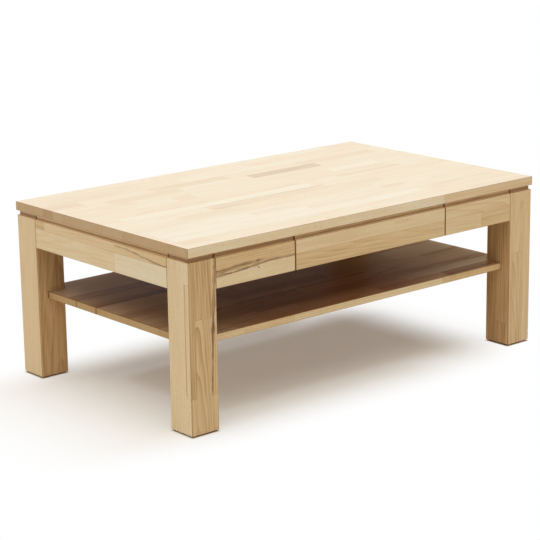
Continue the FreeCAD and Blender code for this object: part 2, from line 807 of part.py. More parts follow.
def slide_inner(side, sign):
    """The rail on the drawer side, which rides between the two rows of balls."""
    steel = size.slide_steel
    lip_end = rail_middle - ball_rise + lip_room
    flange = rail_middle - ball_rise + size.ball_radius + size.running_clearance
    lower_half = ((size.slide_space - steel, flange + steel), (inner_lip, flange + steel), (inner_lip, lip_end),
                  (inner_lip + steel, lip_end), (inner_lip + steel, flange), (size.slide_space, flange))
    body = rail(f"slide_inner_{side}", lower_half, size.slide_length)
    for share in SLIDE_SCREW_SHARES:
        along = size.slide_length * share - size.slide_length / 2
        bore(body, size.slide_screw_radius + size.fit_clearance, steel,
             (size.slide_space - steel, along, rail_middle), (1, 0, 0))
    point, rotation = slide_place(sign, box_middle + size.slide_length / 2 * -sign, slide_level - rail_middle)
    return finished(place(body, point, rotation))


def slide_screws(label, rail_face, head_sign):
    """Screws of both outer rails or both inner rails. They run away from the channel's inside."""
    length = size.slide_steel + size.slide_screw_bite
    template = screw(f"{label}_template", size.slide_screw_radius, size.slide_screw_head_radius,
                     size.slide_screw_head_height, length)
    seats = []
    for sign in (-1, 1):
        head = rail_face + size.slide_screw_head_height * head_sign
        for share in SLIDE_SCREW_SHARES:
            point = ((opening_half - head) * sign, box_middle + size.slide_length * share, slide_level)
            seats.append((point, facing((head_sign * sign, 0, 0))))
    group(label, template, seats)


def ball_cage(side, sign):
    """A folded strip whose two flanges hold the balls between the rails."""
    body = new_body(f"ball_cage_{side}")
    low = rail_middle - ball_rise - size.cage_steel / 2
    flange_end = outer_reach - size.slide_steel - size.running_clearance
    lower_half = ((cage_face, low), (flange_end, low), (flange_end, low + size.cage_steel),
                  (cage_face + size.cage_steel, low + size.cage_steel))
    pad(body, "XZ_Plane", mirrored_section(lower_half), cage_length)
    for share in BALL_ROW_SHARES:
        along = cage_length * share - cage_length / 2
        bore(body, size.ball_radius + size.fit_clearance, size.slide_height, (ball_across, along, 0), UP)
    point, rotation = slide_place(sign, cage_middle + cage_length / 2 * -sign, slide_level - rail_middle)
    return finished(place(body, point, rotation))


def balls(side, sign):
    """Faceted balls: what three pegs as long as they are wide, one along each axis, have in common."""
    pegs = []
    for name, direction in (("x", (1, 0, 0)), ("y", (0, 1, 0)), ("z", UP)):
        blank = peg(f"ball_{side}_{name}", size.ball_radius, size.ball_radius * 2)
        start = tuple(-size.ball_radius if part else 0 for part in direction)
        pegs.append(place(blank, start, facing(direction)))
    ball = document.addObject("Part::MultiCommon", f"ball_{side}")
    ball.Shapes = pegs
    seats = []
    for share in BALL_ROW_SHARES:
        along = cage_middle + cage_length * share
        for up in (-1, 1):
            seats.append((((opening_half - ball_across) * sign, along, slide_level + ball_rise * up), None))
    group(f"balls_{side}", ball, seats)


def build():
    table_top()
    for quarters, corner in enumerate(CORNERS):
        leg(corner, quarters)
        corner_brace(corner, quarters)
    aprons()
    shelf()
    foot_glides()
    apron_dowels()
    cheek_dowels()
    brace_screws()
    hanger_bolts()
    top_brackets()
    top_bracket_screws()
    drawer_front()
    drawer_end("drawer_box_front", 0)
    drawer_end("drawer_back", 2)
    drawer_bottom()
    drawer_front_screws()
    for side, sign in (("left", -1), ("right", 1)):
        drawer_cheek(side, sign)
        drawer_side(side, sign)
        slide_outer(side, sign)
        slide_inner(side, sign)
        ball_cage(side, sign)
        balls(side, sign)
    slide_screws("slide_outer_screws", size.slide_steel, 1)
    slide_screws("slide_inner_screws", size.slide_space - size.slide_steel, -1)
    document.recompute()


def write_steps():
    """Stop on anything that failed, then write one file per sub-part."""
    failed = [item.Name for item in document.Objects if {"Invalid", "Error"} & set(item.State)]
    failed += [part.Label for part in subparts if part.Shape.isNull() or not part.Shape.isValid()]
    failed += [part.Label for part in subparts if not part.Shape.Solids]
    if failed:
        raise RuntimeError(f"failed objects: {failed}")
    os.makedirs("parts", exist_ok=True)
    for part in subparts:
        part.Shape.exportStep(f"parts/{part.Label}.step")
        print(part.Label, len(part.Shape.Solids), round(part.Shape.Volume))


build()
write_steps()
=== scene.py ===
import bpy
import bmesh
import json
import math
import numpy as np
from mathutils import Matrix, Vector

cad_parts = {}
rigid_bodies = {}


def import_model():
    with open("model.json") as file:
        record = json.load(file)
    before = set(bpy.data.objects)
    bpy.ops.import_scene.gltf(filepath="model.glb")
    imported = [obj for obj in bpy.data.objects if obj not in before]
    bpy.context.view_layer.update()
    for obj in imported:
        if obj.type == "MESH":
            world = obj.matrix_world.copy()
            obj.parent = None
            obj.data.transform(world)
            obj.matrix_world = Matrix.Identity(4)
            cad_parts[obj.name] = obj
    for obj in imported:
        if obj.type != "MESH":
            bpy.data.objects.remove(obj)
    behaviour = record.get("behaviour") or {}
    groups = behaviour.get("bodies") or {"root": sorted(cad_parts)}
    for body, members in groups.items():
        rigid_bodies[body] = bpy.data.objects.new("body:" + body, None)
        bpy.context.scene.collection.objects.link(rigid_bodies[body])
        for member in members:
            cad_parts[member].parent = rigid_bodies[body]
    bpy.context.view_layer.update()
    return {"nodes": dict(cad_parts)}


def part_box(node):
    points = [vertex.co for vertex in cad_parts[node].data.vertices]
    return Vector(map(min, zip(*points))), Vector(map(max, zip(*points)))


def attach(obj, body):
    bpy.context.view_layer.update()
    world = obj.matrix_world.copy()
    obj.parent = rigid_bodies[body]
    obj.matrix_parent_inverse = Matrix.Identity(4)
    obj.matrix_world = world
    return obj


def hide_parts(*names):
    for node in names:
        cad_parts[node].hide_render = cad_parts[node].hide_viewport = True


for leftover in list(bpy.data.objects):  # start from an empty file
    bpy.data.objects.remove(leftover)
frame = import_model()
print("frame loaded:", len(frame["nodes"]), "nodes")


# Node helpers

def feed(tree, sockets, values):  # a value is typed into its socket, or linked where it is a node's output
    for key, value in dict(values).items():
        if isinstance(value, bpy.types.NodeSocket):
            tree.links.new(value, sockets[key])
        else:
            sockets[key].default_value = value


def addNode(tree, kind, values=(), **settings):
    made = tree.nodes.new(kind)
    for key, value in settings.items():
        setattr(made, key, value)
    feed(tree, made.inputs, values)
    return made


def calc(tree, operation, *parts):
    return addNode(tree, "ShaderNodeMath", enumerate(parts), operation=operation).outputs[0]


def vectorCalc(tree, operation, *parts):
    return addNode(tree, "ShaderNodeVectorMath", enumerate(parts), operation=operation).outputs[0]


def vectorNumber(tree, operation, *parts):  # a length or a dot product
    return addNode(tree, "ShaderNodeVectorMath", enumerate(parts), operation=operation).outputs["Value"]


def splitVector(tree, vector):
    return addNode(tree, "ShaderNodeSeparateXYZ", {0: vector}).outputs


def joinVector(tree, x, y, z):
    return addNode(tree, "ShaderNodeCombineXYZ", {0: x, 1: y, 2: z}).outputs[0]


def mixValue(tree, factor, first, second):
    return addNode(tree, "ShaderNodeMix", {0: factor, 2: first, 3: second}, data_type="FLOAT").outputs[0]


def mixVector(tree, factor, first, second):
    return addNode(tree, "ShaderNodeMix", {0: factor, 4: first, 5: second}, data_type="VECTOR").outputs[1]


def mixColour(tree, factor, first, second, blend="MIX"):
    made = addNode(tree, "ShaderNodeMix", {0: factor, 6: first, 7: second}, data_type="RGBA", blend_type=blend)
    return made.outputs[2]


def remap(tree, value, low, high, start=0.0, end=1.0):  # eased step between two values
    return addNode(tree, "ShaderNodeMapRange", {0: value, 1: low, 2: high, 3: start, 4: end},
                   interpolation_type="SMOOTHSTEP").outputs[0]


def noise(tree, place, perMetre, detail=2.0, distortion=0.0):  # noise with its own scale along each axis
    scaled = vectorCalc(tree, "MULTIPLY", place, perMetre)
    return addNode(tree, "ShaderNodeTexNoise", {"Vector": scaled, "Scale": 1.0, "Detail": detail,
                                                "Distortion": distortion}).outputs[0]


def lineNoise(tree, value, perMetre, seed, detail=2.0):
    moved = calc(tree, "MULTIPLY_ADD", value, perMetre, seed)
    return addNode(tree, "ShaderNodeTexNoise", {"W": moved, "Scale": 1.0, "Detail": detail},
                   noise_dimensions="1D").outputs[0]


def shade(red, green, blue):  # screen colour to the linear colour that sockets take
    parts = np.array([red, green, blue]) / 255
    linear = np.where(parts <= 0.04045, parts / 12.92, ((parts + 0.055) / 1.055) ** 2.4)
    return (*linear.tolist(), 1.0)


def newGroup(name, inputs, outputs):
    tree = bpy.data.node_groups.new(name, "ShaderNodeTree")
    for label, kind in inputs.items():
        tree.interface.new_socket(label, in_out="INPUT", socket_type=f"NodeSocket{kind}")
    for label, kind in outputs.items():
        tree.interface.new_socket(label, in_out="OUTPUT", socket_type=f"NodeSocket{kind}")
    return tree, tree.nodes.new("NodeGroupInput").outputs, tree.nodes.new("NodeGroupOutput").inputs


def useGroup(tree, name, **values):
    named = {key.replace("_", " "): value for key, value in values.items()}
    return addNode(tree, "ShaderNodeGroup", named, node_tree=bpy.data.node_groups[name]).outputs


# Shared effects. Place runs along the grain, across the staves and through the thickness, in metres.

jointWidth = 0.0007  # dark glue line between staves
staveCells = {"rowStep": 7.31, "seedStep": 53.7, "startReach": 9.0, "rowReach": 5.0, "uneven": 0.75}


def makeStaveLayout():  # rows of equal width, each cut into staves of random length by cells along the row
    tree, given, result = newGroup(
        "staveLayout", {"Place": "Vector", "Row Width": "Float", "Stave Length": "Float", "Seed": "Float"},
        {"Tone": "Float", "Pick": "Float", "Shift": "Vector", "Middle": "Vector", "Joint": "Float"})
    along, across, _ = splitVector(tree, given["Place"])
    rows = calc(tree, "DIVIDE", across, given["Row Width"])
    row = calc(tree, "FLOOR", rows)
    boardSeed = calc(tree, "MULTIPLY", given["Seed"], staveCells["seedStep"])
    rowSeed = calc(tree, "MULTIPLY_ADD", row, staveCells["rowStep"], boardSeed)
    start = addNode(tree, "ShaderNodeTexWhiteNoise", {"W": rowSeed}, noise_dimensions="1D").outputs[0]
    steps = calc(tree, "DIVIDE", along, given["Stave Length"])
    cell = calc(tree, "ADD", calc(tree, "MULTIPLY_ADD", start, staveCells["startReach"], steps),
                calc(tree, "MULTIPLY", rowSeed, staveCells["rowReach"]))
    wanted = {"W": cell, "Scale": 1.0, "Randomness": staveCells["uneven"]}
    own = addNode(tree, "ShaderNodeTexVoronoi", wanted, voronoi_dimensions="1D", feature="F1").outputs["Color"]
    edge = addNode(tree, "ShaderNodeTexVoronoi", wanted, voronoi_dimensions="1D", feature="DISTANCE_TO_EDGE")
    red, green, _ = splitVector(tree, own)
    offMiddle = calc(tree, "SUBTRACT", calc(tree, "FRACT", rows), 0.5)
    fromMiddle = calc(tree, "MULTIPLY", offMiddle, given["Row Width"])
    sideways = calc(tree, "SUBTRACT", calc(tree, "MULTIPLY", given["Row Width"], 0.5),
                    calc(tree, "ABSOLUTE", fromMiddle))
    lengthways = calc(tree, "MULTIPLY", edge.outputs["Distance"], given["Stave Length"])
    nearest = calc(tree, "MINIMUM", sideways, lengthways)
    feed(tree, result, {
        "Tone": red, "Pick": green, "Shift": vectorCalc(tree, "SUBTRACT", own, (0.5, 0.5, 0.5)),
        "Middle": joinVector(tree, 0.0, calc(tree, "SUBTRACT", across, fromMiddle), 0.0),
        "Joint": remap(tree, nearest, 0.0, jointWidth, 1.0, 0.0)})


def makeStavePatch():  # one inside a block given by its middle and half size, with a line round its rim
    tree, given, result = newGroup("stavePatch", {"Place": "Vector", "Middle": "Vector", "Half": "Vector"},
                                   {"Mask": "Float", "Rim": "Float"})
    aside = vectorCalc(tree, "ABSOLUTE", vectorCalc(tree, "SUBTRACT", given["Place"], given["Middle"]))
    past = splitVector(tree, vectorCalc(tree, "SUBTRACT", aside, given["Half"]))
    furthest = calc(tree, "MAXIMUM", calc(tree, "MAXIMUM", past[0], past[1]), past[2])
    feed(tree, result, {"Mask": calc(tree, "LESS_THAN", furthest, 0.0),
                        "Rim": remap(tree, calc(tree, "ABSOLUTE", furthest), 0.0, jointWidth, 1.0, 0.0)})


beechTones = {  # tone 0 to 1, palest stave to brownest
    0.0: (242, 226, 194),
    0.3: (236, 210, 166),
    0.6: (224, 190, 140),
    0.85: (200, 160, 111),
    1.0: (172, 130, 86),
}
heartBrown = shade(112, 62, 22)
fleckBrown = shade(160, 114, 72)
grainScales = {  # waves per metre along the grain, across it and through the thickness
    "wander": (3.0, 16.0, 16.0), "fibre": (9.0, 420.0, 420.0), "bands": (7.0, 110.0, 110.0),
    "drift": (2.0, 14.0, 14.0), "fleck": (150.0, 900.0, 900.0), "vein": (1.3, 46.0, 46.0),
}
beechFigure = {
    "reach": (7.0, 3.0, 3.0), "pithShift": (0.09, 0.12, 0.07), "pithBelow": 0.055, "wander": 0.012,
    "ringWidth": 0.0044, "ringEdge": 2.2, "ringMiddle": 0.3, "rings": 0.32, "drift": 0.34, "bands": 0.42,
    "fibre": 0.36, "fleck": 0.28, "fleckFrom": (0.62, 0.72), "veinFrom": (0.56, 0.70), "pickFrom": (0.70, 0.86),
    "roughness": (0.20, 0.32), "ringGroove": -0.3, "fleckGroove": -0.5,
}


def makeBeechGrain():  # growth rings about a pith below the stave, streaks, fibres, ray flecks and heart veins
    tree, given, result = newGroup(
        "beechGrain", {"Local": "Vector", "Tone": "Float", "Pick": "Float", "Shift": "Vector", "Heart": "Float",
                       "Figure": "Float"},
        {"Color": "Color", "Roughness": "Float", "Height": "Float"})
    apart = vectorCalc(tree, "MULTIPLY", given["Shift"], beechFigure["reach"])
    own = vectorCalc(tree, "ADD", given["Local"], apart)  # each stave is cut from wood of its own
    along, across, depth = splitVector(tree, given["Local"])
    pith = vectorCalc(tree, "MULTIPLY", given["Shift"], beechFigure["pithShift"])
    lean, aside, below = splitVector(tree, pith)
    sideways = calc(tree, "ADD", across, aside)
    deep = calc(tree, "ADD", calc(tree, "ADD", depth, below), beechFigure["pithBelow"])
    squares = calc(tree, "MULTIPLY_ADD", sideways, sideways, calc(tree, "MULTIPLY", deep, deep))
    radius = calc(tree, "SQRT", squares)
    cone = calc(tree, "MULTIPLY", along, lean)  # the trunk narrows upward, which draws the rings out to arches
    wander = calc(tree, "MULTIPLY", noise(tree, own, grainScales["wander"]), beechFigure["wander"])
    reach = calc(tree, "ADD", calc(tree, "ADD", radius, cone), wander)
    phase = calc(tree, "DIVIDE", reach, beechFigure["ringWidth"])
    ring = calc(tree, "POWER", calc(tree, "FRACT", phase), beechFigure["ringEdge"])
    fibre = noise(tree, own, grainScales["fibre"], 3.0)
    bands = noise(tree, own, grainScales["bands"])
    drift = noise(tree, own, grainScales["drift"])
    fleck = remap(tree, noise(tree, own, grainScales["fleck"], 1.0), *beechFigure["fleckFrom"])
    rings = calc(tree, "MULTIPLY", calc(tree, "SUBTRACT", ring, beechFigure["ringMiddle"]),
                 calc(tree, "MULTIPLY", drift, beechFigure["rings"]))
    tone = calc(tree, "MULTIPLY_ADD", rings, given["Figure"], given["Tone"])
    for name, layer in {"drift": drift, "bands": bands, "fibre": fibre}.items():
        amount = beechFigure[name]
        tone = calc(tree, "ADD", tone, calc(tree, "MULTIPLY_ADD", layer, amount, -amount / 2))
    ramp = addNode(tree, "ShaderNodeValToRGB", {0: tone})
    stops = ramp.color_ramp.elements
    for place, colour in beechTones.items():
        stop = stops[0] if place == 0 else stops[-1] if place == 1 else stops.new(place)
        stop.color = shade(*colour)
    vein = remap(tree, noise(tree, own, grainScales["vein"], 3.0, 0.6), *beechFigure["veinFrom"])
    chosen = remap(tree, given["Pick"], *beechFigure["pickFrom"])
    heart = calc(tree, "MULTIPLY", calc(tree, "MULTIPLY", vein, chosen), given["Heart"])
    wood = mixColour(tree, heart, ramp.outputs[0], heartBrown)
    wood = mixColour(tree, calc(tree, "MULTIPLY", fleck, beechFigure["fleck"]), wood, fleckBrown)
    groove = calc(tree, "MULTIPLY_ADD", ring, beechFigure["ringGroove"], fibre)
    feed(tree, result, {
        "Color": wood, "Roughness": calc(tree, "MULTIPLY_ADD", fibre, *beechFigure["roughness"]),
        "Height": calc(tree, "MULTIPLY_ADD", fleck, beechFigure["fleckGroove"], groove)})


streakFigure = {"wobbles": 12.0, "swells": 31.0, "body": (0.2, 1.2), "fade": 0.03, "above": (-0.001, 0.004),
                "filaments": (16.0, 800.0, 800.0), "filamentFrom": (0.3, 0.6), "filamentLeast": 0.3}


def makeHeartStreak():  # a brown line along the grain that rises in an S, wobbles, swells and fades at its ends
    numbers = ("Start", "End", "Across", "Rise", "Bend Start", "Bend End", "Width", "Wobble", "Seed")
    tree, given, result = newGroup("heartStreak", {"Place": "Vector", **dict.fromkeys(numbers, "Float")},
                                   {"Mask": "Float", "Above": "Float"})
    along, across, _ = splitVector(tree, given["Place"])
    wave = lineNoise(tree, along, streakFigure["wobbles"], given["Seed"], 3.0)
    swing = calc(tree, "MULTIPLY", calc(tree, "SUBTRACT", wave, 0.5), given["Wobble"])
    climb = calc(tree, "MULTIPLY", remap(tree, along, given["Bend Start"], given["Bend End"]), given["Rise"])
    line = calc(tree, "ADD", calc(tree, "ADD", given["Across"], climb), swing)
    off = calc(tree, "SUBTRACT", across, line)
    half = calc(tree, "MULTIPLY", given["Width"], lineNoise(tree, along, streakFigure["swells"], given["Seed"]))
    body = remap(tree, calc(tree, "DIVIDE", calc(tree, "ABSOLUTE", off), half), *streakFigure["body"], 1.0, 0.0)
    fadeIn = remap(tree, calc(tree, "SUBTRACT", along, given["Start"]), 0.0, streakFigure["fade"])
    fadeOut = remap(tree, calc(tree, "SUBTRACT", given["End"], along), 0.0, streakFigure["fade"])
    threads = noise(tree, given["Place"], streakFigure["filaments"])
    filament = remap(tree, threads, *streakFigure["filamentFrom"], streakFigure["filamentLeast"], 1.0)
    body = calc(tree, "MULTIPLY", body, filament)
    feed(tree, result, {"Mask": calc(tree, "MULTIPLY", body, calc(tree, "MULTIPLY", fadeIn, fadeOut)),
                        "Above": remap(tree, off, *streakFigure["above"])})


knotFade = (0.3, 1.0)  # rim of the dark core and end of the spot, as shares of its size


def makeKnot():  # an oval spot, dark in the middle
    tree, given, result = newGroup("knot", {"Place": "Vector", "Middle": "Vector", "Size": "Vector"},
                                   {"Mask": "Float"})
    aside = vectorCalc(tree, "SUBTRACT", given["Place"], given["Middle"])
    away = vectorNumber(tree, "LENGTH", vectorCalc(tree, "DIVIDE", aside, given["Size"]))
    feed(tree, result, {"Mask": remap(tree, away, *knotFade, 1.0, 0.0)})


squareOn = (0.6, 0.9)  # how far a face has to look along a direction to count as square to it


def makeEndGrain():  # one where the surface is cut across the grain
    tree, given, result = newGroup("endGrain", {"Normal": "Vector", "Grain": "Vector"}, {"Mask": "Float"})
    facing = vectorNumber(tree, "DOT_PRODUCT", given["Normal"], given["Grain"])
    feed(tree, result, {"Mask": remap(tree, calc(tree, "ABSOLUTE", facing), *squareOn)})


metalFigure = {
    "crystals": (260.0, 260.0, 260.0), "lines": (1500.0, 30.0, 1500.0), "patches": (35.0, 35.0, 35.0),
    "patchTint": 0.6, "crystalTint": 0.4, "dull": (0.22, 0.12), "brushed": 0.18,
}


def makeMetalSkin():  # crystals of the plating, fine drawing lines and a few dull patches
    tree, given, result = newGroup("metalSkin", {"Place": "Vector"}, {"Tint": "Float", "Roughness": "Float"})
    crystals = noise(tree, given["Place"], metalFigure["crystals"])
    lines = noise(tree, given["Place"], metalFigure["lines"])
    patches = noise(tree, given["Place"], metalFigure["patches"], 3.0)
    dull = calc(tree, "MULTIPLY_ADD", patches, *metalFigure["dull"])
    tint = calc(tree, "MULTIPLY", crystals, metalFigure["crystalTint"])
    feed(tree, result, {"Tint": calc(tree, "MULTIPLY_ADD", patches, metalFigure["patchTint"], tint),
                        "Roughness": calc(tree, "MULTIPLY_ADD", lines, metalFigure["brushed"], dull)})


for makeEffect in (makeStaveLayout, makeStavePatch, makeBeechGrain, makeHeartStreak, makeKnot, makeEndGrain,
                   makeMetalSkin):
    makeEffect()
print("shared effects ready")


# Materials

def newMaterial(name):
    material = bpy.data.materials.new(name)
    material.use_nodes = True
    tree = material.node_tree
    tree.nodes.clear()
    surface = tree.nodes.new("ShaderNodeBsdfPrincipled")
    output = tree.nodes.new("ShaderNodeOutputMaterial")
    tree.links.new(surface.outputs[0], output.inputs[0])
    return material, tree, surface


grainAxes = {"x": (1, 0, 0), "y": (0, 1, 0), "z": (0, 0, 1)}
endDarkening = shade(212, 193, 168)
edgeDarkening = shade(190, 165, 135)
# painted sheen: a whitish colour mixed into upward faces in place of reflected light
paintedSheen = shade(244, 239, 228)
# painted shade: multiplied into the shelf's upper face, which lies in shade under the top
shelfPaintedShade = shade(160, 129, 111)
skinDepth = 0.001  # staves start this far inside the faces
wholeDepth = (-1.0, 1.0)
shiftSteps = np.array([0.31, 0.57, 0.83])  # how far one seed moves the grain of a listed stave
beechBump = {"Strength": 0.25, "Distance": 0.0003}
plainFinish = {"glue": 0.3, "figure": 1.0, "gloss": 0.28, "polish": 0.0, "polishRoughness": 0.35, "aslant": 0.0,
               "upper": {"colour": paintedSheen, "amount": 0.0}}


def stave(along, across, tone, seed, depth=wholeDepth):  # listed one by one: the block that it fills, tone and seed
    return {"block": (along, across, depth), "tone": tone, "seed": seed}


def streak(span, across, rise, bend, width, wobble, seed, strength, toneAbove=0.0):  # a listed heart line
    line = {"Start": span[0], "End": span[1], "Across": across, "Rise": rise, "Bend Start": bend[0],
            "Bend End": bend[1], "Width": width, "Wobble": wobble, "Seed": seed}
    return {"line": line, "strength": strength, "toneAbove": toneAbove}


def beechMaterial(name, look):  # staves at random or listed, streaks, grain, ends, edges, and painted sheen and painted shade on upward faces
    look = {**plainFinish, **look}
    material, tree, surface = newMaterial(name)
    source = addNode(tree, "ShaderNodeTexCoord").outputs
    moved = vectorCalc(tree, "SUBTRACT", source["Object"], look["corner"])
    shrink = (1 - 2 * skinDepth / np.array(look["size"])).tolist()  # so that no joint lies on an outer face
    inside = vectorCalc(tree, "MULTIPLY_ADD", moved, shrink, (skinDepth,) * 3)
    turned = addNode(tree, "ShaderNodeVectorRotate", {"Vector": inside, "Angle": -look["aslant"]},
                     rotation_type="Z_AXIS").outputs[0]  # aslant is the turn of the grain about the vertical
    axes = dict(zip("xyz", splitVector(tree, turned)))
    depthAxis = (set("xyz") - {look["along"], look["across"]}).pop()
    place = joinVector(tree, axes[look["along"]], axes[look["across"]], axes[depthAxis])
    layout = useGroup(tree, "staveLayout", Place=place, Row_Width=look["row"], Stave_Length=look["stave"],
                      Seed=look["seed"])
    tone = calc(tree, "MULTIPLY_ADD", layout["Tone"], look["spread"], look["base"])
    shift, middle, joint, pick = layout["Shift"], layout["Middle"], layout["Joint"], layout["Pick"]
    # recess patches paint shade into the shadow gap
    for patch in (*look.get("patches", ()), *look.get("recess", ())):
        ranges = np.array(patch["block"])
        blockMiddle, blockHalf = ranges.mean(1).tolist(), (np.ptp(ranges, 1) / 2).tolist()
        block = useGroup(tree, "stavePatch", Place=place, Middle=blockMiddle, Half=blockHalf)
        tone = mixValue(tree, block["Mask"], tone, patch["tone"])
        pick = mixValue(tree, block["Mask"], pick, 0.0)
        middle = mixVector(tree, block["Mask"], middle, blockMiddle)
        ownShift = (shiftSteps * patch["seed"] % 1 - 0.5).tolist()
        shift = mixVector(tree, block["Mask"], shift, ownShift)
        outside = calc(tree, "SUBTRACT", 1.0, block["Mask"])
        joint = calc(tree, "MAXIMUM", calc(tree, "MULTIPLY", joint, outside), block["Rim"])
    local = vectorCalc(tree, "SUBTRACT", place, middle)
    masks = []
    for heart in look.get("streaks", ()):
        line = useGroup(tree, "heartStreak", Place=place, **heart["line"])
        masks.append(calc(tree, "MULTIPLY", line["Mask"], heart["strength"]))
        tone = calc(tree, "MULTIPLY_ADD", line["Above"], heart["toneAbove"], tone)
    for knot in look.get("knots", ()):
        spot = useGroup(tree, "knot", Place=place, Middle=(*knot["at"], 0.0), Size=(*knot["size"], 1.0))
        masks.append(spot["Mask"])
    wood = useGroup(tree, "beechGrain", Local=local, Tone=tone, Pick=pick, Shift=shift, Heart=look["heart"],
                    Figure=look["figure"])
    colour = wood["Color"]
    for mask in masks:
        colour = mixColour(tree, mask, colour, heartBrown)
    colour = mixColour(tree, calc(tree, "MULTIPLY", joint, look["glue"]), colour, fleckBrown)
    grain = Matrix.Rotation(look["aslant"], 3, "Z") @ Vector(grainAxes[look["along"]])
    end = useGroup(tree, "endGrain", Normal=source["Normal"], Grain=grain)["Mask"]
    edge = addNode(tree, "ShaderNodeAttribute", attribute_name="edge").outputs["Fac"]
    for mask, darkening in ((end, endDarkening), (edge, edgeDarkening)):
        colour = mixColour(tree, mask, colour, mixColour(tree, 1.0, colour, darkening, "MULTIPLY"))
    # painted light on upward faces: a painted sheen on the top, painted shade on the shelf
    upperSheenAndShade = look["upper"]
    upward = remap(tree, splitVector(tree, source["Normal"])[2], *squareOn)
    amount = calc(tree, "MULTIPLY", upward, upperSheenAndShade["amount"])
    for outer, inner, least in upperSheenAndShade.get("thins", ()):  # the painted light thins out towards the ends of the board
        amount = calc(tree, "MULTIPLY", amount, remap(tree, axes[look["along"]], outer, inner, least))
    colour = mixColour(tree, amount, colour, upperSheenAndShade["colour"], upperSheenAndShade.get("blend", "MIX"))
    bump = addNode(tree, "ShaderNodeBump", {**beechBump, "Height": wood["Height"]})
    feed(tree, surface.inputs, {
        "Base Color": colour, "Roughness": wood["Roughness"], "Normal": bump.outputs[0],
        "Specular IOR Level": look["gloss"], "Coat Weight": look["polish"],
        "Coat Roughness": look["polishRoughness"]})
    return material


def metalMaterial(name, dark, light):  # two tones mixed by the metal skin
    material, tree, surface = newMaterial(name)
    source = addNode(tree, "ShaderNodeTexCoord").outputs
    skin = useGroup(tree, "metalSkin", Place=source["Object"])
    feed(tree, surface.inputs, {"Base Color": mixColour(tree, skin["Tint"], dark, light),
                                "Roughness": skin["Roughness"], "Metallic": 1.0})
    return material


plasticFigure = {"mottle": (90.0, 90.0, 90.0), "pores": (900.0, 900.0, 900.0), "roughness": (0.3, 0.4),
                 "bump": {"Strength": 0.2, "Distance": 0.0003}}


def plasticMaterial(name, dark, light):  # two tones in a soft mottle, with fine pores
    material, tree, surface = newMaterial(name)
    source = addNode(tree, "ShaderNodeTexCoord").outputs
    mottle = noise(tree, source["Object"], plasticFigure["mottle"], 3.0)
    pores = noise(tree, source["Object"], plasticFigure["pores"], 1.0)
    bump = addNode(tree, "ShaderNodeBump", {**plasticFigure["bump"], "Height": pores})
    feed(tree, surface.inputs, {
        "Base Color": mixColour(tree, mottle, dark, light), "Normal": bump.outputs[0],
        "Roughness": calc(tree, "MULTIPLY_ADD", mottle, *plasticFigure["roughness"])})
    return material


# Surfaces

arcSteps = 5
sharpRadius = 0.0004  # a corner rounded no more than this counts as sharp


def arcLoop(corners, radii):  # each corner becomes an arc that spreads its turn over equal steps
    points = np.array(corners, float) @ np.array([1, 1j])
    ahead = np.roll(points, -1) - points
    ahead = ahead / np.abs(ahead)
    before = np.roll(ahead, 1)
    bend = np.angle(ahead / before)
    radius = np.array(radii, float)
    start = points - before * radius * np.tan(np.abs(bend) / 2)
    centre = start + 1j * np.sign(bend) * before * radius
    share = np.linspace(0, 1, arcSteps + 1)
    loop = centre[:, None] + (start - centre)[:, None] * np.exp(1j * bend[:, None] * share)
    rounding = np.where(radius[:, None] > sharpRadius, np.sin(np.pi * share), 0)
    return np.stack([loop.real.ravel(), loop.imag.ravel()], 1), rounding.ravel()


def insetCorners(corners, amount):  # every side of the outline moves inward by the same amount
    points = np.array(corners, float) @ np.array([1, 1j])
    ahead = np.roll(points, -1) - points
    inward = 1j * ahead / np.abs(ahead)
    before = np.roll(inward, 1)
    moved = points + amount * (before + inward) / (1 + (before * inward.conj()).real)
    return np.stack([moved.real, moved.imag], 1)


def easedEnds(low, high, radius):  # places, insets and edge weights of a run with quarter-round ends
    share = np.linspace(0, np.pi / 2, arcSteps + 1)
    back = radius * (1 - np.sin(share))
    insets = radius * (1 - np.cos(share))
    weights = np.sin(2 * share)
    return [np.concatenate(pair) for pair in ((low + back[::-1], high - back), (insets[::-1], insets),
                                              (weights[::-1], weights))]


mergeWithin, sliverBelow = 2e-6, 1e-6
roundedFrom = 0.01  # edge weight from which a face is shaded smooth


def putMesh(name, points, faces, edge):  # merged, closed and facing outward; rounded faces alone are smooth
    mesh = bpy.data.meshes.new(name)
    mesh.from_pydata(points.reshape(-1, 3).tolist(), [], faces)
    mesh.attributes.new("edge", "FLOAT", "POINT").data.foreach_set("value", edge.ravel().astype(np.float32))
    work = bmesh.new()
    work.from_mesh(mesh)
    bmesh.ops.remove_doubles(work, verts=work.verts, dist=mergeWithin)
    bmesh.ops.dissolve_degenerate(work, edges=work.edges, dist=sliverBelow)
    bmesh.ops.recalc_face_normals(work, faces=work.faces)
    work.to_mesh(mesh)
    work.free()
    corners = np.empty(len(mesh.loops), np.int32)
    starts = np.empty(len(mesh.polygons), np.int32)
    weights = np.empty(len(mesh.vertices), np.float32)
    mesh.loops.foreach_get("vertex_index", corners)
    mesh.polygons.foreach_get("loop_start", starts)
    mesh.attributes["edge"].data.foreach_get("value", weights)
    mesh.polygons.foreach_set("use_smooth", np.maximum.reduceat(weights[corners], starts) > roundedFrom)
    piece = bpy.data.objects.new(name, mesh)
    bpy.context.scene.collection.objects.link(piece)
    return piece


def loft(name, rings, edge):  # rings of equal count joined by quads, with a face on both ends
    stations, count = rings.shape[:2]
    index = np.arange(stations * count).reshape(stations, count)
    turned = np.roll(index, -1, axis=1)
    quads = np.stack([index[:-1], turned[:-1], turned[1:], index[1:]], -1).reshape(-1, 4).tolist()
    edge[[0, -1]] = 0
    return putMesh(name, rings, quads + [index[0][::-1].tolist(), index[-1].tolist()], edge)


def dress(piece, body, node, material):  # its finish, the body it rides on and the node it stands for
    piece.data.materials.append(material)
    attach(piece, body)
    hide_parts(node)
    return piece


def boardLook(node, look):  # a look, with the corner and size of the board that wears it
    low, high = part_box(node)
    return {"corner": tuple(low), "size": tuple(high - low), **look}


# Boards that lie flat

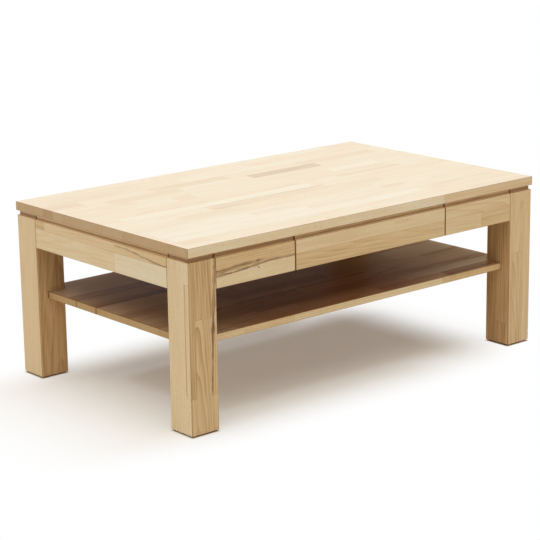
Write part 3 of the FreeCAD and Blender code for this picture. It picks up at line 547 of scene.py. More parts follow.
def slab(name, node, ease):  # a rounded rectangle carried up through the thickness, drawn in at both faces
    low, high = (np.array(corner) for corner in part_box(node))
    corners = [(low[0], low[1]), (high[0], low[1]), (high[0], high[1]), (low[0], high[1])]
    rings, edges = [], []
    for height, inset, weight in zip(*easedEnds(low[2], high[2], ease)):
        loop, rounding = arcLoop(insetCorners(corners, inset), [max(ease - inset, 0)] * 4)
        rings.append(np.column_stack([loop, np.full(len(loop), height)]))
        edges.append(np.maximum(rounding, weight))
    return loft(name, np.array(rings), np.array(edges))


tableTop = {
    "round": 0.0015,
    "look": {
        "along": "x", "across": "y", "row": 0.7 / 17, "stave": 0.42, "seed": 3.0, "spread": 0.16, "base": 0.15,
        # upper mixes the painted sheen into the top's upward face
        "heart": 0.12, "glue": 0.22, "gloss": 0.5, "polish": 0.3, "upper": {"colour": paintedSheen, "amount": 0.25},
        "patches": [
            stave((0.615, 0.855), (0.494, 0.535), 0.80, 3.0), stave((0.820, 1.095), (0.535, 0.576), 0.48, 5.0),
            stave((0.150, 0.380), (0.494, 0.535), 0.44, 7.0), stave((0.320, 0.565), (0.535, 0.576), 0.46, 9.0),
            stave((-0.01, 0.100), (0.535, 0.576), 0.52, 2.0), stave((0.450, 0.890), (0.576, 0.617), 0.08, 6.5),
            stave((0.300, 0.360), (0.412, 0.453), 0.46, 6.0), stave((0.820, 1.000), (0.412, 0.453), 0.08, 2.5),
            stave((0.785, 1.015), (0.350, 0.371), 0.46, 4.0), stave((0.130, 0.655), (0.350, 0.371), 0.36, 9.5),
            stave((0.060, 0.665), (0.309, 0.350), 0.02, 8.0), stave((0.295, 0.680), (0.268, 0.309), 0.48, 1.0),
            stave((0.175, 0.340), (0.227, 0.268), 0.38, 5.5), stave((0.775, 0.850), (0.165, 0.190), 0.50, 3.5),
            stave((0.020, 0.330), (0.151, 0.190), 0.06, 7.5), stave((0.020, 0.480), (0.110, 0.151), 0.03, 8.5),
            stave((0.025, 0.830), (0.068, 0.110), 0.02, 4.5), stave((0.020, 0.100), (0.030, 0.068), 0.42, 1.5),
            stave((0.820, 1.160), (-0.01, 0.030), 0.52, 2.2, (-0.01, 0.0215))],  # front edge, at the right
        "streaks": [streak((0.28, 0.70), 0.3065, 0.0, (0, 1), 0.006, 0.002, 3.0, 0.35)]},
}
topPiece = slab("beech_top", "table_top", tableTop["round"])
dress(topPiece, "frame", "table_top",
      beechMaterial("beechTop", boardLook("table_top", tableTop["look"])))

edgeDepth, faceDepth = (-0.01, 0.0165), (0.0165, 0.03)  # the edge of the shelf and its upper face
leftEnd, frontEdge = (-0.01, 0.0025), (-0.01, 0.02)
lowerShelf = {
    "round": 0.0015,
    "look": {
        "along": "x", "across": "y", "row": 0.634 / 15, "stave": 0.36, "seed": 8.0, "spread": 0.55, "base": 0.2,
        "heart": 0.35, "figure": 1.8, "gloss": 0.022,
        # painted shade on the shelf's upper face, thinning out toward both ends where more light reaches
        "upper": {"colour": shelfPaintedShade, "amount": 1.0, "blend": "MULTIPLY",
                  "thins": ((0.0, 0.3, 0.74), (1.084, 0.62, 0.0))},
        "patches": [
            stave(leftEnd, (-0.01, 0.211), 0.0, 1.2, edgeDepth),
            stave(leftEnd, (0.0845, 0.127), 0.22, 8.4, edgeDepth),
            stave(leftEnd, (0.211, 0.338), 0.06, 7.7, edgeDepth),
            stave(leftEnd, (0.338, 0.650), 0.14, 2.9, edgeDepth),
            stave((0.0025, 0.157), frontEdge, 0.34, 2.0, edgeDepth),
            stave((0.157, 0.312), frontEdge, 0.46, 3.0, edgeDepth),
            stave((0.312, 0.512), frontEdge, 0.30, 4.0, edgeDepth),
            stave((0.512, 0.817), frontEdge, 0.28, 5.0, edgeDepth),
            stave((0.817, 1.100), frontEdge, 0.62, 6.0, edgeDepth),
            stave((0.0025, 0.450), (0.504, 0.650), 0.12, 4.6, faceDepth),
            stave((0.0025, 0.300), (0.459, 0.504), 0.84, 1.7, faceDepth),
            stave((0.0025, 0.340), (0.374, 0.409), 0.90, 3.9, faceDepth),
            stave((0.0025, 0.095), (0.246, 0.289), 0.72, 5.8, faceDepth),
            stave((0.0025, 0.200), (0.204, 0.246), 0.42, 6.1, faceDepth),
            stave((0.285, 0.610), (0.204, 0.244), 0.74, 3.3, faceDepth),
            stave((0.610, 0.860), (0.204, 0.290), 0.48, 7.1, faceDepth),
            stave((0.260, 0.620), (0.074, 0.114), 0.72, 5.4, faceDepth),
            stave((0.790, 1.075), (0.084, 0.114), 0.74, 2.6, faceDepth),
            stave((0.390, 0.560), (0.030, 0.064), 0.30, 9.2, faceDepth),
            stave((0.620, 0.850), (-0.01, 0.042), 0.66, 4.1, faceDepth),
            stave((0.850, 1.070), (-0.01, 0.042), 1.05, 6.8, faceDepth)],
        "streaks": [
            streak((0.25, 0.72), 0.172, 0.006, (0.25, 0.72), 0.010, 0.006, 3.0, 0.7),
            streak((0.60, 0.83), 0.114, 0.045, (0.62, 0.81), 0.006, 0.005, 5.0, 0.7),
            streak((0.82, 1.06), 0.012, 0.004, (0.84, 1.06), 0.018, 0.004, 8.0, 0.8),
            streak((-0.05, 0.28), 0.464, 0.003, (0.0, 0.24), 0.009, 0.004, 2.0, 0.6),
            streak((-0.05, 0.24), 0.380, 0.006, (0.0, 0.24), 0.010, 0.006, 7.0, 0.7)]},
}
shelfPiece = slab("beech_shelf", "shelf", lowerShelf["round"])
dress(shelfPiece, "frame", "shelf",
      beechMaterial("beechShelf", boardLook("shelf", lowerShelf["look"])))
print("top and shelf laid")


# Legs

legShape = {"width": 0.08, "round": 0.0018, "foot": 0.002, "slot": 0.0285, "slotRound": 0.0003,
            "boss": (0.005, 0.0775), "bossRound": 0.0006, "shoulder": 0.4155, "shoulderRound": 0.0008,
            "shoulderStep": 0.3}
shelfLow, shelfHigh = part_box("shelf")
shelfPlay = 0.0002


def legOutline(first, last, slot):  # a square, with points on two sides where the cut for the shelf starts
    return [(first, first), (last, first), (last, slot), (last, last), (slot, last), (first, last)]


def legRings(bottom, top):  # a square carried up, cut to an L beside the shelf, drawn in above the shoulder
    slot, ease = legShape["slot"], legShape["round"]
    post = legOutline(0, legShape["width"], slot)
    cut = [*post[:3], (slot, slot), *post[4:]]
    boss = legOutline(*legShape["boss"], slot)
    postRadii = [ease, ease, 0, ease, 0, ease]
    cutRadii = [ease, ease, *[legShape["slotRound"]] * 3, ease]
    bossRadii = [legShape["bossRound"] if radius else 0 for radius in postRadii]
    foot, shoulder, bevel = legShape["foot"], legShape["shoulder"], legShape["shoulderRound"]
    step = bevel * legShape["shoulderStep"]
    shelfTop = shelfHigh.z + shelfPlay
    plan = [(bottom, post, postRadii, foot), (bottom + foot, post, postRadii, 0),
            (shelfLow.z, post, postRadii, 0), (shelfLow.z, cut, cutRadii, 0),
            (shelfTop, cut, cutRadii, 0), (shelfTop, post, postRadii, 0),
            (shoulder - bevel, post, postRadii, 0), (shoulder - step, post, postRadii, step),
            (shoulder, post, postRadii, bevel), (shoulder, boss, bossRadii, 0), (top, boss, bossRadii, 0)]
    loops = [arcLoop(insetCorners(outline, inset), radii) for _, outline, radii, inset in plan]
    heights = np.array([height for height, *_ in plan])
    flat = np.array([loop for loop, _ in loops])
    rise = np.broadcast_to(heights[:, None, None], (*flat.shape[:2], 1))
    return np.concatenate([flat, rise], 2), np.array([rounding for _, rounding in loops])


shadeBand, shadeBandTone, recessSeed = 0.006, 1.1, 6.0  # the band is painted shade in the dark corner at the recess's foot
faceMargin, footMargin = 0.0015, 0.0025  # so that no patch ends on a face
bossFace = legShape["boss"][0] + faceMargin
recessFoot = legShape["shoulder"] - footMargin
anySide = (-0.01, 0.09)
legRecessShade = [  # painted shade in the shadow gap: front and back of the boss, its two ends, and the painted-shade band at its foot
    stave((recessFoot, 0.45), anySide, 0.92, recessSeed),
    stave((recessFoot, 0.45), (-0.01, bossFace), 0.55, recessSeed, (bossFace, 0.09)),
    stave((recessFoot, recessFoot + shadeBand), anySide, shadeBandTone, recessSeed)]
legCorners = {"front_left": (-1, -1), "front_right": (1, -1), "rear_right": (1, 1), "rear_left": (-1, 1)}
legRun = (-0.01, 0.44)
outerFace, frontDepth = (-0.01, 0.003), (-0.01, 0.030)  # of the near leg
innerFace = (-0.01, 0.004)  # the inner face of the right leg, darkened there as painted shade
legLooks = {
    "front_left": {
        "row": 0.09, "stave": 4.0, "seed": 5.0, "spread": 0.1, "base": 0.25, "heart": 0.1, "glue": 0.5,
        "figure": 1.6,
        "patches": [
            stave((0.090, 0.360), outerFace, 0.30, 8.0, (-0.01, 0.018)),
            stave((0.095, 0.360), outerFace, 0.90, 1.0, (0.0165, 0.018)),
            stave((-0.01, 0.090), (0.003, 0.090), 0.60, 4.0, frontDepth),
            stave((-0.01, 0.275), (0.017, 0.064), 0.58, 3.0, frontDepth),
            stave((0.275, 0.440), (0.017, 0.064), 0.70, 7.2, frontDepth),
            stave((0.090, 0.440), (0.003, 0.017), 0.76, 5.0, (-0.01, 0.018)),
            stave((0.090, 0.440), (0.064, 0.090), 0.56, 2.0, frontDepth)],
        "streaks": [streak((0.080, 0.300), 0.062, 0.006, (0.08, 0.30), 0.0055, 0.002, 2.0, 0.95),
                    streak((0.190, 0.480), 0.066, 0.010, (0.19, 0.46), 0.010, 0.004, 6.0, 0.75)]},
    "front_right": {
        "row": 0.09, "stave": 0.9, "seed": 2.0, "spread": 0.1, "base": 0.45, "heart": 0.3, "glue": 0.4,
        "patches": [
            # the inner face's dark patches are painted shade under the table, laid as lamellas
            stave(legRun, (-0.01, 0.014), 0.56, 8.0), stave(legRun, innerFace, 0.82, 5.0, (0.003, 0.046)),
            stave(legRun, innerFace, 0.90, 1.0, (0.046, 0.090)),
            stave((-0.01, 0.060), innerFace, 0.88, 7.0, (0.012, 0.046)),
            stave((-0.01, 0.250), (0.014, 0.052), 0.58, 3.0), stave((0.250, 0.440), (0.014, 0.052), 0.52, 6.0),
            stave(legRun, (0.052, 0.090), 0.46, 9.0)]},
    "rear_right": {"row": 0.027, "stave": 0.45, "seed": 9.0, "spread": 0.4, "base": 0.2, "heart": 0.3},
    "rear_left": {
        "row": 0.027, "stave": 0.55, "seed": 4.0, "spread": 0.2, "base": 0.36, "heart": 0.2,
        # the second patch darkens the front face as painted shade under the table
        "patches": [stave(legRun, (-0.01, 0.012), 0.38, 3.0),
                    stave(legRun, (0.004, 0.09), 0.84, 6.0, (-0.01, 0.004))]},
}
for corner, (sideX, sideY) in legCorners.items():
    node = f"leg_{corner}"
    low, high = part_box(node)
    outerX = low.x if sideX < 0 else high.x
    outerY = low.y if sideY < 0 else high.y
    rings, edges = legRings(low.z, high.z)
    rings[..., 0] = outerX - sideX * rings[..., 0]
    rings[..., 1] = outerY - sideY * rings[..., 1]
    look = boardLook(node, {"along": "z", "across": "x", "recess": legRecessShade, **legLooks[corner]})
    dress(loft(f"beech_{node}", rings, edges), "frame", node,
          beechMaterial(f"beechLeg_{corner}", look))
print("legs stood")


# Aprons and drawer front

apronShape = {"thickness": 0.022, "height": 0.073, "gap": 0.005, "round": 0.001, "fine": 0.0004}
frontShape = {**apronShape, "pull": (0.012, 0.016)}


def sectionOf(shape, board):  # a rectangle set back on the outside above, with a slope behind the pull's edge
    thick, height, gap, fine = (shape[key] for key in ("thickness", "height", "gap", "fine"))
    pullDepth, pullHeight = shape.get("pull", (thick - fine, fine))
    corners = [(0, 0), (pullDepth, 0), (thick, pullHeight), (thick, board), (gap, board), (gap, height),
               (0, height)]
    return corners, [shape["round"], fine / 2, fine / 4, fine, fine, fine, shape["round"]]


def run(name, node, shape, outward):  # the section carried along the length, its outer face turned outward
    low, high = (np.array(corner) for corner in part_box(node))
    alongAxis = 0 if outward[1] else 1
    inwardAxis = 1 - alongAxis
    side = outward[inwardAxis]
    face = low[inwardAxis] if side < 0 else high[inwardAxis]
    corners, radii = sectionOf(shape, high[2] - low[2])
    rings, edges = [], []
    for place, inset, weight in zip(*easedEnds(low[alongAxis], high[alongAxis], shape["round"])):
        loop, rounding = arcLoop(insetCorners(corners, inset), radii)
        ring = np.empty((len(loop), 3))
        ring[:, alongAxis] = place
        ring[:, inwardAxis] = face - side * loop[:, 0]
        ring[:, 2] = low[2] + loop[:, 1]
        rings.append(ring)
        edges.append(np.maximum(rounding, weight))
    return loft(name, np.array(rings), np.array(edges))


# painted shade in the shadow gap over the aprons: where it starts, its band, its tone and its run
apronRecessShade = {"above": 0.0005, "shadeBand": 0.0035, "tone": 0.78, "run": (-0.02, 1.2)}


def recessShadeOf(tone):  # painted shade on the drawn-in upper edge, darker still in a painted-shade band at its corner
    foot = apronShape["height"] + apronRecessShade["above"]
    return [stave(apronRecessShade["run"], (foot, 0.1), tone, recessSeed),
            stave(apronRecessShade["run"], (foot, foot + apronRecessShade["shadeBand"]), shadeBandTone, recessSeed)]


longBoard = {"row": 0.2, "stave": 2.0, "heart": 0.0}  # one stave, apart from those listed
apronRuns = {
    "apron_front_left": {"outward": (0, -1), "look": {
        "along": "x", **longBoard, "seed": 2.0, "spread": 0.05, "base": 0.22,
        "streaks": [streak((-0.04, 0.28), 0.0285, 0.011, (0.02, 0.17), 0.007, 0.005, 4.0, 0.85, 0.34),
                    streak((-0.04, 0.15), 0.0385, 0.006, (0.0, 0.10), 0.010, 0.006, 9.0, 0.75),
                    streak((-0.04, 0.10), 0.0340, 0.004, (0.0, 0.10), 0.004, 0.006, 1.0, 0.5)],
        "knots": [{"at": (0.127, 0.029), "size": (0.004, 0.0022)},
                  {"at": (0.125, 0.046), "size": (0.010, 0.0018)}]}},
    "apron_front_right": {"outward": (0, -1), "look": {
        "along": "x", **longBoard, "seed": 3.0, "spread": 0.1, "base": 0.36,
        "patches": [stave((-0.01, 0.25), (0.0395, 0.09), 0.40, 3.0),
                    stave((-0.01, 0.1315), (-0.01, 0.0395), 0.40, 3.1),
                    stave((0.1315, 0.25), (-0.01, 0.0395), 0.56, 8.0)]}},
    "apron_right": {"outward": (1, 0), "look": {
        "along": "y", "row": 0.0365, "stave": 0.4, "seed": 6.0, "spread": 0.4, "base": 0.2, "heart": 0.3}},
    "apron_rear": {"outward": (0, 1), "look": {
        "along": "x", "row": 0.0365, "stave": 0.45, "seed": 7.0, "spread": 0.4, "base": 0.2, "heart": 0.3}},
    # the left apron's painted recess shade is lighter
    "apron_left": {"outward": (-1, 0), "recess": 0.5, "look": {
        "along": "y", **longBoard, "seed": 8.0, "spread": 0.1, "base": 0.24,
        "patches": [stave((-0.01, 0.203), (-0.01, 0.0475), 0.08, 5.0),
                    stave((-0.01, 0.203), (0.0475, 0.09), 0.44, 2.0),
                    stave((0.203, 0.496), (0.0495, 0.09), 0.32, 4.0),
                    stave((0.496, 0.550), (0.0505, 0.09), 0.66, 7.0)],
        "streaks": [streak((-0.04, 0.21), 0.0505, 0.015, (0.0, 0.2), 0.006, 0.006, 3.0, 0.6)]}},
    "drawer_front": {"outward": (0, -1), "body": "drawer", "shape": frontShape, "look": {
        "along": "x", **longBoard, "seed": 9.0, "spread": 0.1, "base": 0.3,
        "patches": [stave((-0.01, 0.51), (-0.01, 0.0405), 0.54, 4.0),
                    stave((-0.01, 0.51), (0.0405, 0.09), 0.32, 8.0)]}},
}
for node, plan in apronRuns.items():
    recess = recessShadeOf(plan.get("recess", apronRecessShade["tone"]))
    look = boardLook(node, {"across": "z", "recess": recess, **plan["look"]})
    board = run(f"beech_{node}", node, plan.get("shape", apronShape), plan["outward"])
    dress(board, plan.get("body", "frame"), node, beechMaterial(f"beech_{node}", look))
print("aprons and drawer front set")


# Boards and metal that keep their solid

plainLook = {"row": 0.06, "stave": 0.6, "spread": 0.3, "base": 0.3, "heart": 0.2}
veneerLook = {"row": 1.0, "stave": 3.0, "spread": 0.1, "base": 0.34, "heart": 0.0}
leftTurn, rightTurn = {"aslant": math.pi / 4}, {"aslant": -math.pi / 4}
keptBoards = {  # node: grain, across, seed and other changes to the plain look
    "drawer_cheek_left": ("y", "z", 1.0, {}), "drawer_cheek_right": ("y", "z", 2.0, {}),
    "corner_brace_front_left": ("x", "z", 3.0, rightTurn),
    "corner_brace_front_right": ("x", "z", 4.0, leftTurn),
    "corner_brace_rear_right": ("x", "z", 5.0, rightTurn),
    "corner_brace_rear_left": ("x", "z", 6.0, leftTurn),
    "drawer_box_front": ("x", "z", 7.0, {}), "drawer_back": ("x", "z", 8.0, {}),
    "drawer_side_left": ("y", "z", 9.0, {}), "drawer_side_right": ("y", "z", 10.0, {}),
    "drawer_bottom": ("x", "y", 11.0, veneerLook),
    "apron_dowels": ("x", "z", 12.0, {}), "cheek_dowels": ("y", "z", 13.0, {}),
}


def repaint(node, material):  # the solid keeps its mesh
    mesh = frame["nodes"][node].data
    mesh.materials.clear()
    mesh.materials.append(material)


for node, (along, across, seed, changes) in keptBoards.items():
    look = boardLook(node, {**plainLook, "along": along, "across": across, "seed": seed, **changes})
    repaint(node, beechMaterial(f"plainBeech_{node}", look))
zincSteel = metalMaterial("zincSteel", shade(150, 152, 150), shade(205, 206, 200))
slideSteel = metalMaterial("slideSteel", shade(165, 168, 172), shade(215, 217, 220))
glidePlastic = plasticMaterial("glidePlastic", shade(34, 29, 25), shade(58, 50, 43))
repaint("top_brackets", zincSteel)
for side in ("left", "right"):
    for stem in ("slide_outer", "slide_inner", "ball_cage"):
        repaint(f"{stem}_{side}", slideSteel)
print("kept solids painted")


# Turned hardware

sharpTurn = math.radians(38)
upwards = np.array([0.0, 0.0, 1.0])
rightwards = np.array([1.0, 0.0, 0.0])
slantwards = np.array([1.0, 0.2, 0.0])
uprightFrom = 0.9


def solidsOf(node, count):  # the points of each solid in a group, which lie in equal runs
    mesh = frame["nodes"][node].data
    points = np.empty(len(mesh.vertices) * 3, np.float32)
    mesh.vertices.foreach_get("co", points)
    return points.reshape(count, -1, 3).astype(float)


def squareTo(axes, guide):  # two directions square to each axis, the first as near as can be to the guide
    first = guide - axes * (guide * axes).sum(-1, keepdims=True)
    first = first / np.linalg.norm(first, axis=-1, keepdims=True)
    return first, np.cross(axes, first)


def anglesOf(count):  # equal steps round the circle
    return np.linspace(0, 2 * np.pi, count, endpoint=False)


def allRound(profile, count):  # the same radius or height at every angle
    return np.repeat(np.asarray(profile, float)[:, None], count, 1)


def turn(name, starts, axes, guide, radius, height, closed=False):  # a profile carried round each axis
    first, second = squareTo(axes, guide)
    angle = anglesOf(radius.shape[1])
    spread = [part[:, None, None] for part in (starts, axes, first, second)]
    reach = [part[None, :, :, None] for part in (height, radius * np.cos(angle), radius * np.sin(angle))]
    # start, plus height along the axis, plus radius times cosine and sine along the two directions square to it
    points = spread[0] + spread[1] * reach[0] + spread[2] * reach[1] + spread[3] * reach[2]
    index = np.arange(radius.size).reshape(radius.shape)
    upper = np.roll(index, -1, axis=0)
    if not closed:
        index, upper = index[:-1], upper[:-1]
    quads = np.stack([index, np.roll(index, -1, axis=1), np.roll(upper, -1, axis=1), upper], -1).reshape(-1, 4)
    every = quads[None] + (np.arange(len(starts)) * radius.size)[:, None, None]
    piece = putMesh(name, points, every.reshape(-1, 4).tolist(), np.ones(points.shape[:3]))
    piece.data.set_sharp_from_angle(angle=sharpTurn)
    piece.data.attributes.remove(piece.data.attributes["edge"])
    return piece


endFrom = 0.6  # the ends of a screw lie beyond this share of half its length


def longAxes(solids):  # start at the wide end, unit direction to the narrow one, and length
    middle = solids.mean(1)
    axes = np.linalg.svd(solids - middle[:, None], full_matrices=False)[2][:, 0]
    along = np.einsum("spc,sc->sp", solids - middle[:, None], axes)
    away = np.linalg.norm(solids - middle[:, None] - along[..., None] * axes[:, None], axis=2)
    reach = endFrom * np.abs(along).max(1, keepdims=True)
    wideAhead = np.where(along > reach, away, 0).max(1) > np.where(along < -reach, away, 0).max(1)
    axes = np.where(wideAhead[:, None], -axes, axes)
    along = np.where(wideAhead[:, None], -along, along)
    return middle + axes * along.min(1)[:, None], axes, np.ptp(along, axis=1)


def flatAxes(solids, inner):  # face nearest the leg, direction away from the leg, and thickness
    middle = (solids.max(1) + solids.min(1)) / 2
    axes = np.linalg.svd(solids - solids.mean(1, keepdims=True), full_matrices=False)[2][:, 2]
    axes = np.where((axes * inner).sum(1, keepdims=True) < 0, -axes, axes)
    along = np.einsum("spc,sc->sp", solids - middle[:, None], axes)
    return middle + axes * along.min(1)[:, None], axes, np.ptp(along, axis=1).mean()


screwShape = {"angles": 32, "rings": 10, "face": 0.94, "dome": 0.3, "rim": (0.985, 1.3), "seat": 0.98,
              "point": 3.0, "tip": 0.6, "recess": 0.62, "recessSlope": 0.5, "wing": 0.6, "wingSlope": 0.08,
              "slot": 0.15, "slotSlope": 0.06}  # shares of the head, its height or the shank


def screwProfile(head, headHeight, shank, length):  # domed head with a cross recess, plain shank, tapered point
    angle = anglesOf(screwShape["angles"])
    face = np.linspace(0, screwShape["face"], screwShape["rings"])
    dome = screwShape["dome"] * headHeight
    tip = length - screwShape["point"] * shank
    (rimOut, rimUp), seat, taper = screwShape["rim"], screwShape["seat"], screwShape["tip"]
    radius = [*face * head, head * rimOut, head, head * seat, shank, shank, shank * taper, 0]
    height = [*dome * face ** 2, dome * rimUp, dome * 2, headHeight, headHeight, tip, (tip + length) / 2,
              length]
    radius, height = allRound(radius, len(angle)), allRound(height, len(angle))
    across = np.minimum(np.abs(radius * np.cos(angle)), np.abs(radius * np.sin(angle))) / head
    wing = np.clip((screwShape["slot"] - across) / screwShape["slotSlope"] + 1, 0, 1)
    wing *= np.clip((screwShape["wing"] - radius / head) / screwShape["wingSlope"] + 1, 0, 1)
    wing[len(face):] = 0
    depth = screwShape["recess"] * headHeight * (1 - screwShape["recessSlope"] * radius / head)
    return radius, height + wing * depth


screwRuns = {  # node: count, body, head radius, head height, shank radius
    "brace_screws": (16, "frame", 0.0036, 0.0022, 0.002),
    "top_bracket_screws": (16, "frame", 0.0036, 0.0022, 0.002),
    "drawer_front_screws": (4, "drawer", 0.0036, 0.0022, 0.002),
    "slide_outer_screws": (6, "frame", 0.003, 0.0018, 0.00175),
    "slide_inner_screws": (6, "drawer", 0.003, 0.0018, 0.00175),
}
for node, (count, body, head, headHeight, shank) in screwRuns.items():
    starts, axes, lengths = longAxes(solidsOf(node, count))
    radius, height = screwProfile(head, headHeight, shank, lengths.mean())
    guide = np.where(np.abs(axes[:, 2:]) > uprightFrom, slantwards, upwards)  # sets how the cross is turned
    dress(turn(f"zinc_{node}", starts, axes, guide, radius, height), body, node, zincSteel)

boltShape = {"radius": 0.004, "pitch": 0.00125, "thread": 0.0007, "cut": 0.016, "step": 0.00018, "angles": 24,
             "point": 0.006, "pointRadii": (0, 0.0012, 0.0036),
             "end": (0.0008, 0.0004), "endRadii": (0.0034, 0.003, 0)}
starts, axes, lengths = longAxes(solidsOf("hanger_bolts", 4))
length = lengths.mean()
inward = ((starts + axes * length) ** 2)[:, :2].sum(1) < (starts ** 2)[:, :2].sum(1)
starts = np.where(inward[:, None], starts, starts + axes * length)
axes = np.where(inward[:, None], axes, -axes)
thread = np.arange(length - boltShape["cut"], length - boltShape["end"][0], boltShape["step"])
height = allRound([0, 0, boltShape["point"], *thread, length - boltShape["end"][1], length, length],
                  boltShape["angles"])
helix = 2 * np.pi * height / boltShape["pitch"] - anglesOf(boltShape["angles"])  # one turn a pitch
radius = boltShape["radius"] - boltShape["thread"] * (0.5 + 0.5 * np.cos(helix))
radius[:3] = allRound(boltShape["pointRadii"], boltShape["angles"])
radius[-3:] = allRound(boltShape["endRadii"], boltShape["angles"])
bolts = turn("zinc_hanger_bolts", starts, axes, upwards, radius, height)
dress(bolts, "frame", "hanger_bolts", zincSteel)

washerShape = {"bore": 0.0044, "rim": 0.012, "round": 0.0004, "angles": 40}
solids = solidsOf("hanger_bolt_washers", 4)
inner = -solids.mean(1) * [1, 1, 0]
starts, axes, thick = flatAxes(solids, inner)
bore, rim, ease = washerShape["bore"], washerShape["rim"], washerShape["round"]
half = [bore, bore + ease, rim - ease, rim]  # out along one face and back along the other, corners eased
radius = allRound(half + half[::-1], washerShape["angles"])
height = allRound([ease, 0, 0, ease, thick - ease, thick, thick, thick - ease], washerShape["angles"])
washers = turn("zinc_washers", starts, axes, upwards, radius, height, closed=True)
dress(washers, "frame", "hanger_bolt_washers", zincSteel)

nutShape = {"bore": 0.0041, "corner": 0.0075, "chamfer": 0.0006, "angles": 48}
solids = solidsOf("hanger_bolt_nuts", 4)
starts, axes, thick = flatAxes(solids, inner)
middle = solids.mean(1)
furthest = np.linalg.norm(solids - middle[:, None], axis=2).argmax(1)
guide = solids[np.arange(4), furthest] - middle
flat = nutShape["corner"] * math.cos(math.pi / 6)
toFlat = anglesOf(nutShape["angles"]) % (np.pi / 3) - np.pi / 6
hexagon = flat / np.cos(toFlat)  # distance to the nearest of six flats
bore, chamfer = nutShape["bore"], nutShape["chamfer"]
ends = np.minimum(hexagon, flat)
hole = allRound([bore, bore + chamfer], nutShape["angles"])
radius = np.concatenate([hole, [ends, hexagon, hexagon, ends], hole[::-1]])
height = allRound([chamfer, 0, 0, chamfer, thick - chamfer, thick, thick, thick - chamfer], nutShape["angles"])
nuts = turn("zinc_nuts", starts, axes, guide, radius, height, closed=True)
dress(nuts, "frame", "hanger_bolt_nuts", zincSteel)

ballShape = {"radius": 0.002, "rows": 11, "angles": 18, "count": 10}
polar = np.linspace(0, np.pi, ballShape["rows"])  # radius goes by its sine, height by its cosine
radius = allRound(ballShape["radius"] * np.sin(polar), ballShape["angles"])
height = allRound(-ballShape["radius"] * np.cos(polar), ballShape["angles"])
for side in ("left", "right"):
    middle = solidsOf(f"balls_{side}", ballShape["count"]).mean(1)
    balls = turn(f"steel_balls_{side}", middle, np.tile(upwards, (len(middle), 1)), rightwards, radius, height)
    dress(balls, f"ball_cage_{side}", f"balls_{side}", slideSteel)

glideShape = {"radius": 0.018, "flat": 0.010, "height": 0.003, "round": 0.0012, "pin": 0.0025,
              "pinLength": 0.015, "angles": 48}
solids = solidsOf("foot_glides", 4)
starts = (solids.min(1) + solids.max(1)) / 2 * [1, 1, 0]
share = np.linspace(0, np.pi / 2, arcSteps + 1)
rim, pin, ease, rise = (glideShape[key] for key in ("radius", "pin", "round", "height"))
top = rise + glideShape["pinLength"]
outward, upward = rim - ease * (1 - np.sin(share)), ease * (1 - np.cos(share))  # quarter round at the rim
radius = allRound([0, glideShape["flat"], *outward, rim, pin, pin, 0], glideShape["angles"])
height = allRound([0, 0, *upward, rise, rise, top, top], glideShape["angles"])
glides = turn("plastic_glides", starts, np.tile(upwards, (4, 1)), rightwards, radius, height)
dress(glides, "frame", "foot_glides", glidePlastic)
print("hardware turned")


# Stage: a near-white floor that whitens away from the table and whose shade is lifted by painted white, one
# broad lamp overhead and a soft fill all round

stageSettings = {
    "reach": 40.0, "floorDark": (230, 222, 207), "floorLight": (234, 226, 211), "mottle": (1.5, 1.5, 1.5),
    "finish": {"Roughness": 0.9, "Specular IOR Level": 0.1}, "fill": 0.22,
    "shades": [  # the floor keeps its shade inside these boxes, lifted by a painted share of white, and whitens over a distance outside them
        {"middle": (-0.03, -0.05, 0), "half": (0.35, 0.15, 1), "over": (0.27, 0.26, 1), "shadeLift": 0.165},
        {"middle": (-0.175, -0.025, 0), "half": (0.275, 0.225, 1), "over": (0.55, 0.22, 1), "shadeLift": 0.25}],
    "foot": {"middle": (0.533, 0.308, 0), "half": (0.039, 0.039, 1), "over": (0.006, 0.006, 1)},
}
sunSettings = {"strength": 2.55, "angle": 80.0, "from": (-0.18, -0.12, 1.0)}


def seenRays(tree):  # camera, mirror and glass rays see the white studio, the object's light does not
    rays = addNode(tree, "ShaderNodeLightPath").outputs
    return calc(tree, "MAXIMUM", calc(tree, "MAXIMUM", rays["Is Camera Ray"], rays["Is Glossy Ray"]),
                rays["Is Transmission Ray"])


def pastBox(tree, place, box):  # distance from a box, as a share of the distance given in over
    aside = vectorCalc(tree, "ABSOLUTE", vectorCalc(tree, "SUBTRACT", place, box["middle"]))
    past = vectorCalc(tree, "MAXIMUM", vectorCalc(tree, "SUBTRACT", aside, box["half"]), (0, 0, 0))
    return vectorNumber(tree, "LENGTH", vectorCalc(tree, "DIVIDE", past, box["over"]))


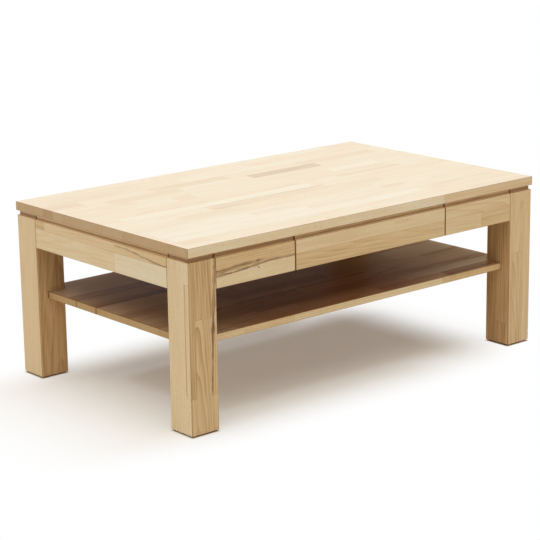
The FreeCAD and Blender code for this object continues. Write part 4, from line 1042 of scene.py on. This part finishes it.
def makeFloor():  # its own shade near the table, lifted by a painted share of white, plain white further out
    reach = stageSettings["reach"]
    mesh = bpy.data.meshes.new("floor")
    corners = [(-reach, -reach, 0), (reach, -reach, 0), (reach, reach, 0), (-reach, reach, 0)]
    mesh.from_pydata(corners, [], [(0, 1, 2, 3)])
    floor = bpy.data.objects.new("floor", mesh)
    bpy.context.scene.collection.objects.link(floor)
    material, tree, surface = newMaterial("paleFloor")
    place = addNode(tree, "ShaderNodeTexCoord").outputs["Object"]
    mirrored = vectorCalc(tree, "ABSOLUTE", place)  # one box does for the four feet
    fromFoot = pastBox(tree, mirrored, stageSettings["foot"])
    whiten = 1.0
    for box in stageSettings["shades"]:
        past = remap(tree, pastBox(tree, place, box), 0.0, 1.0, box["shadeLift"], 1.0)
        whiten = calc(tree, "MINIMUM", whiten, past)
    whiten = calc(tree, "MULTIPLY", remap(tree, fromFoot, 0.0, 1.0), whiten)
    mottle = noise(tree, place, stageSettings["mottle"], 3.0)
    tint = mixColour(tree, mottle, shade(*stageSettings["floorDark"]), shade(*stageSettings["floorLight"]))
    feed(tree, surface.inputs, {"Base Color": tint, **stageSettings["finish"]})
    white = addNode(tree, "ShaderNodeEmission", {"Color": (1, 1, 1, 1), "Strength": 1.0})
    blend = addNode(tree, "ShaderNodeMixShader", {0: calc(tree, "MULTIPLY", whiten, seenRays(tree)),
                                                  1: surface.outputs[0], 2: white.outputs[0]})
    output = next(item for item in tree.nodes if item.type == "OUTPUT_MATERIAL")
    tree.links.new(blend.outputs[0], output.inputs[0])
    mesh.materials.append(material)


def makeWorld():
    world = bpy.data.worlds.new("studio")
    bpy.context.scene.world = world
    world.use_nodes = True
    tree = world.node_tree
    tree.nodes.clear()
    strength = mixValue(tree, seenRays(tree), stageSettings["fill"], 1.0)
    back = addNode(tree, "ShaderNodeBackground", {"Color": (1, 1, 1, 1), "Strength": strength})
    output = tree.nodes.new("ShaderNodeOutputWorld")
    tree.links.new(back.outputs[0], output.inputs[0])


def makeSun():
    lamp = bpy.data.lights.new("overhead", "SUN")
    lamp.energy = sunSettings["strength"]
    lamp.angle = math.radians(sunSettings["angle"])
    sun = bpy.data.objects.new("overhead", lamp)
    sun.rotation_euler = Vector(sunSettings["from"]).to_track_quat("Z", "Y").to_euler()
    bpy.context.scene.collection.objects.link(sun)


makeFloor()
makeWorld()
makeSun()


# Camera at the photograph's viewpoint

viewpoint = {"place": (-3.0569, -3.5585, 1.4491), "aim": (-0.1125, -0.0899, 0.2702), "roll": -0.87,
             "lens": 124.3, "sensor": 36.0, "farthest": 200.0}
eye = bpy.data.cameras.new("viewpoint")
eye.lens = viewpoint["lens"]
eye.sensor_width = viewpoint["sensor"]
eye.clip_end = viewpoint["farthest"]
camera = bpy.data.objects.new("viewpoint", eye)
sight = Vector(viewpoint["aim"]) - Vector(viewpoint["place"])
level = sight.to_track_quat("-Z", "Y").to_matrix()
camera.matrix_world = Matrix.Translation(viewpoint["place"]) @ (
    level @ Matrix.Rotation(math.radians(viewpoint["roll"]), 3, "Z")).to_4x4()
bpy.context.scene.collection.objects.link(camera)
bpy.context.scene.camera = camera
bpy.context.scene.view_settings.view_transform = "Standard"

print("scene ready")
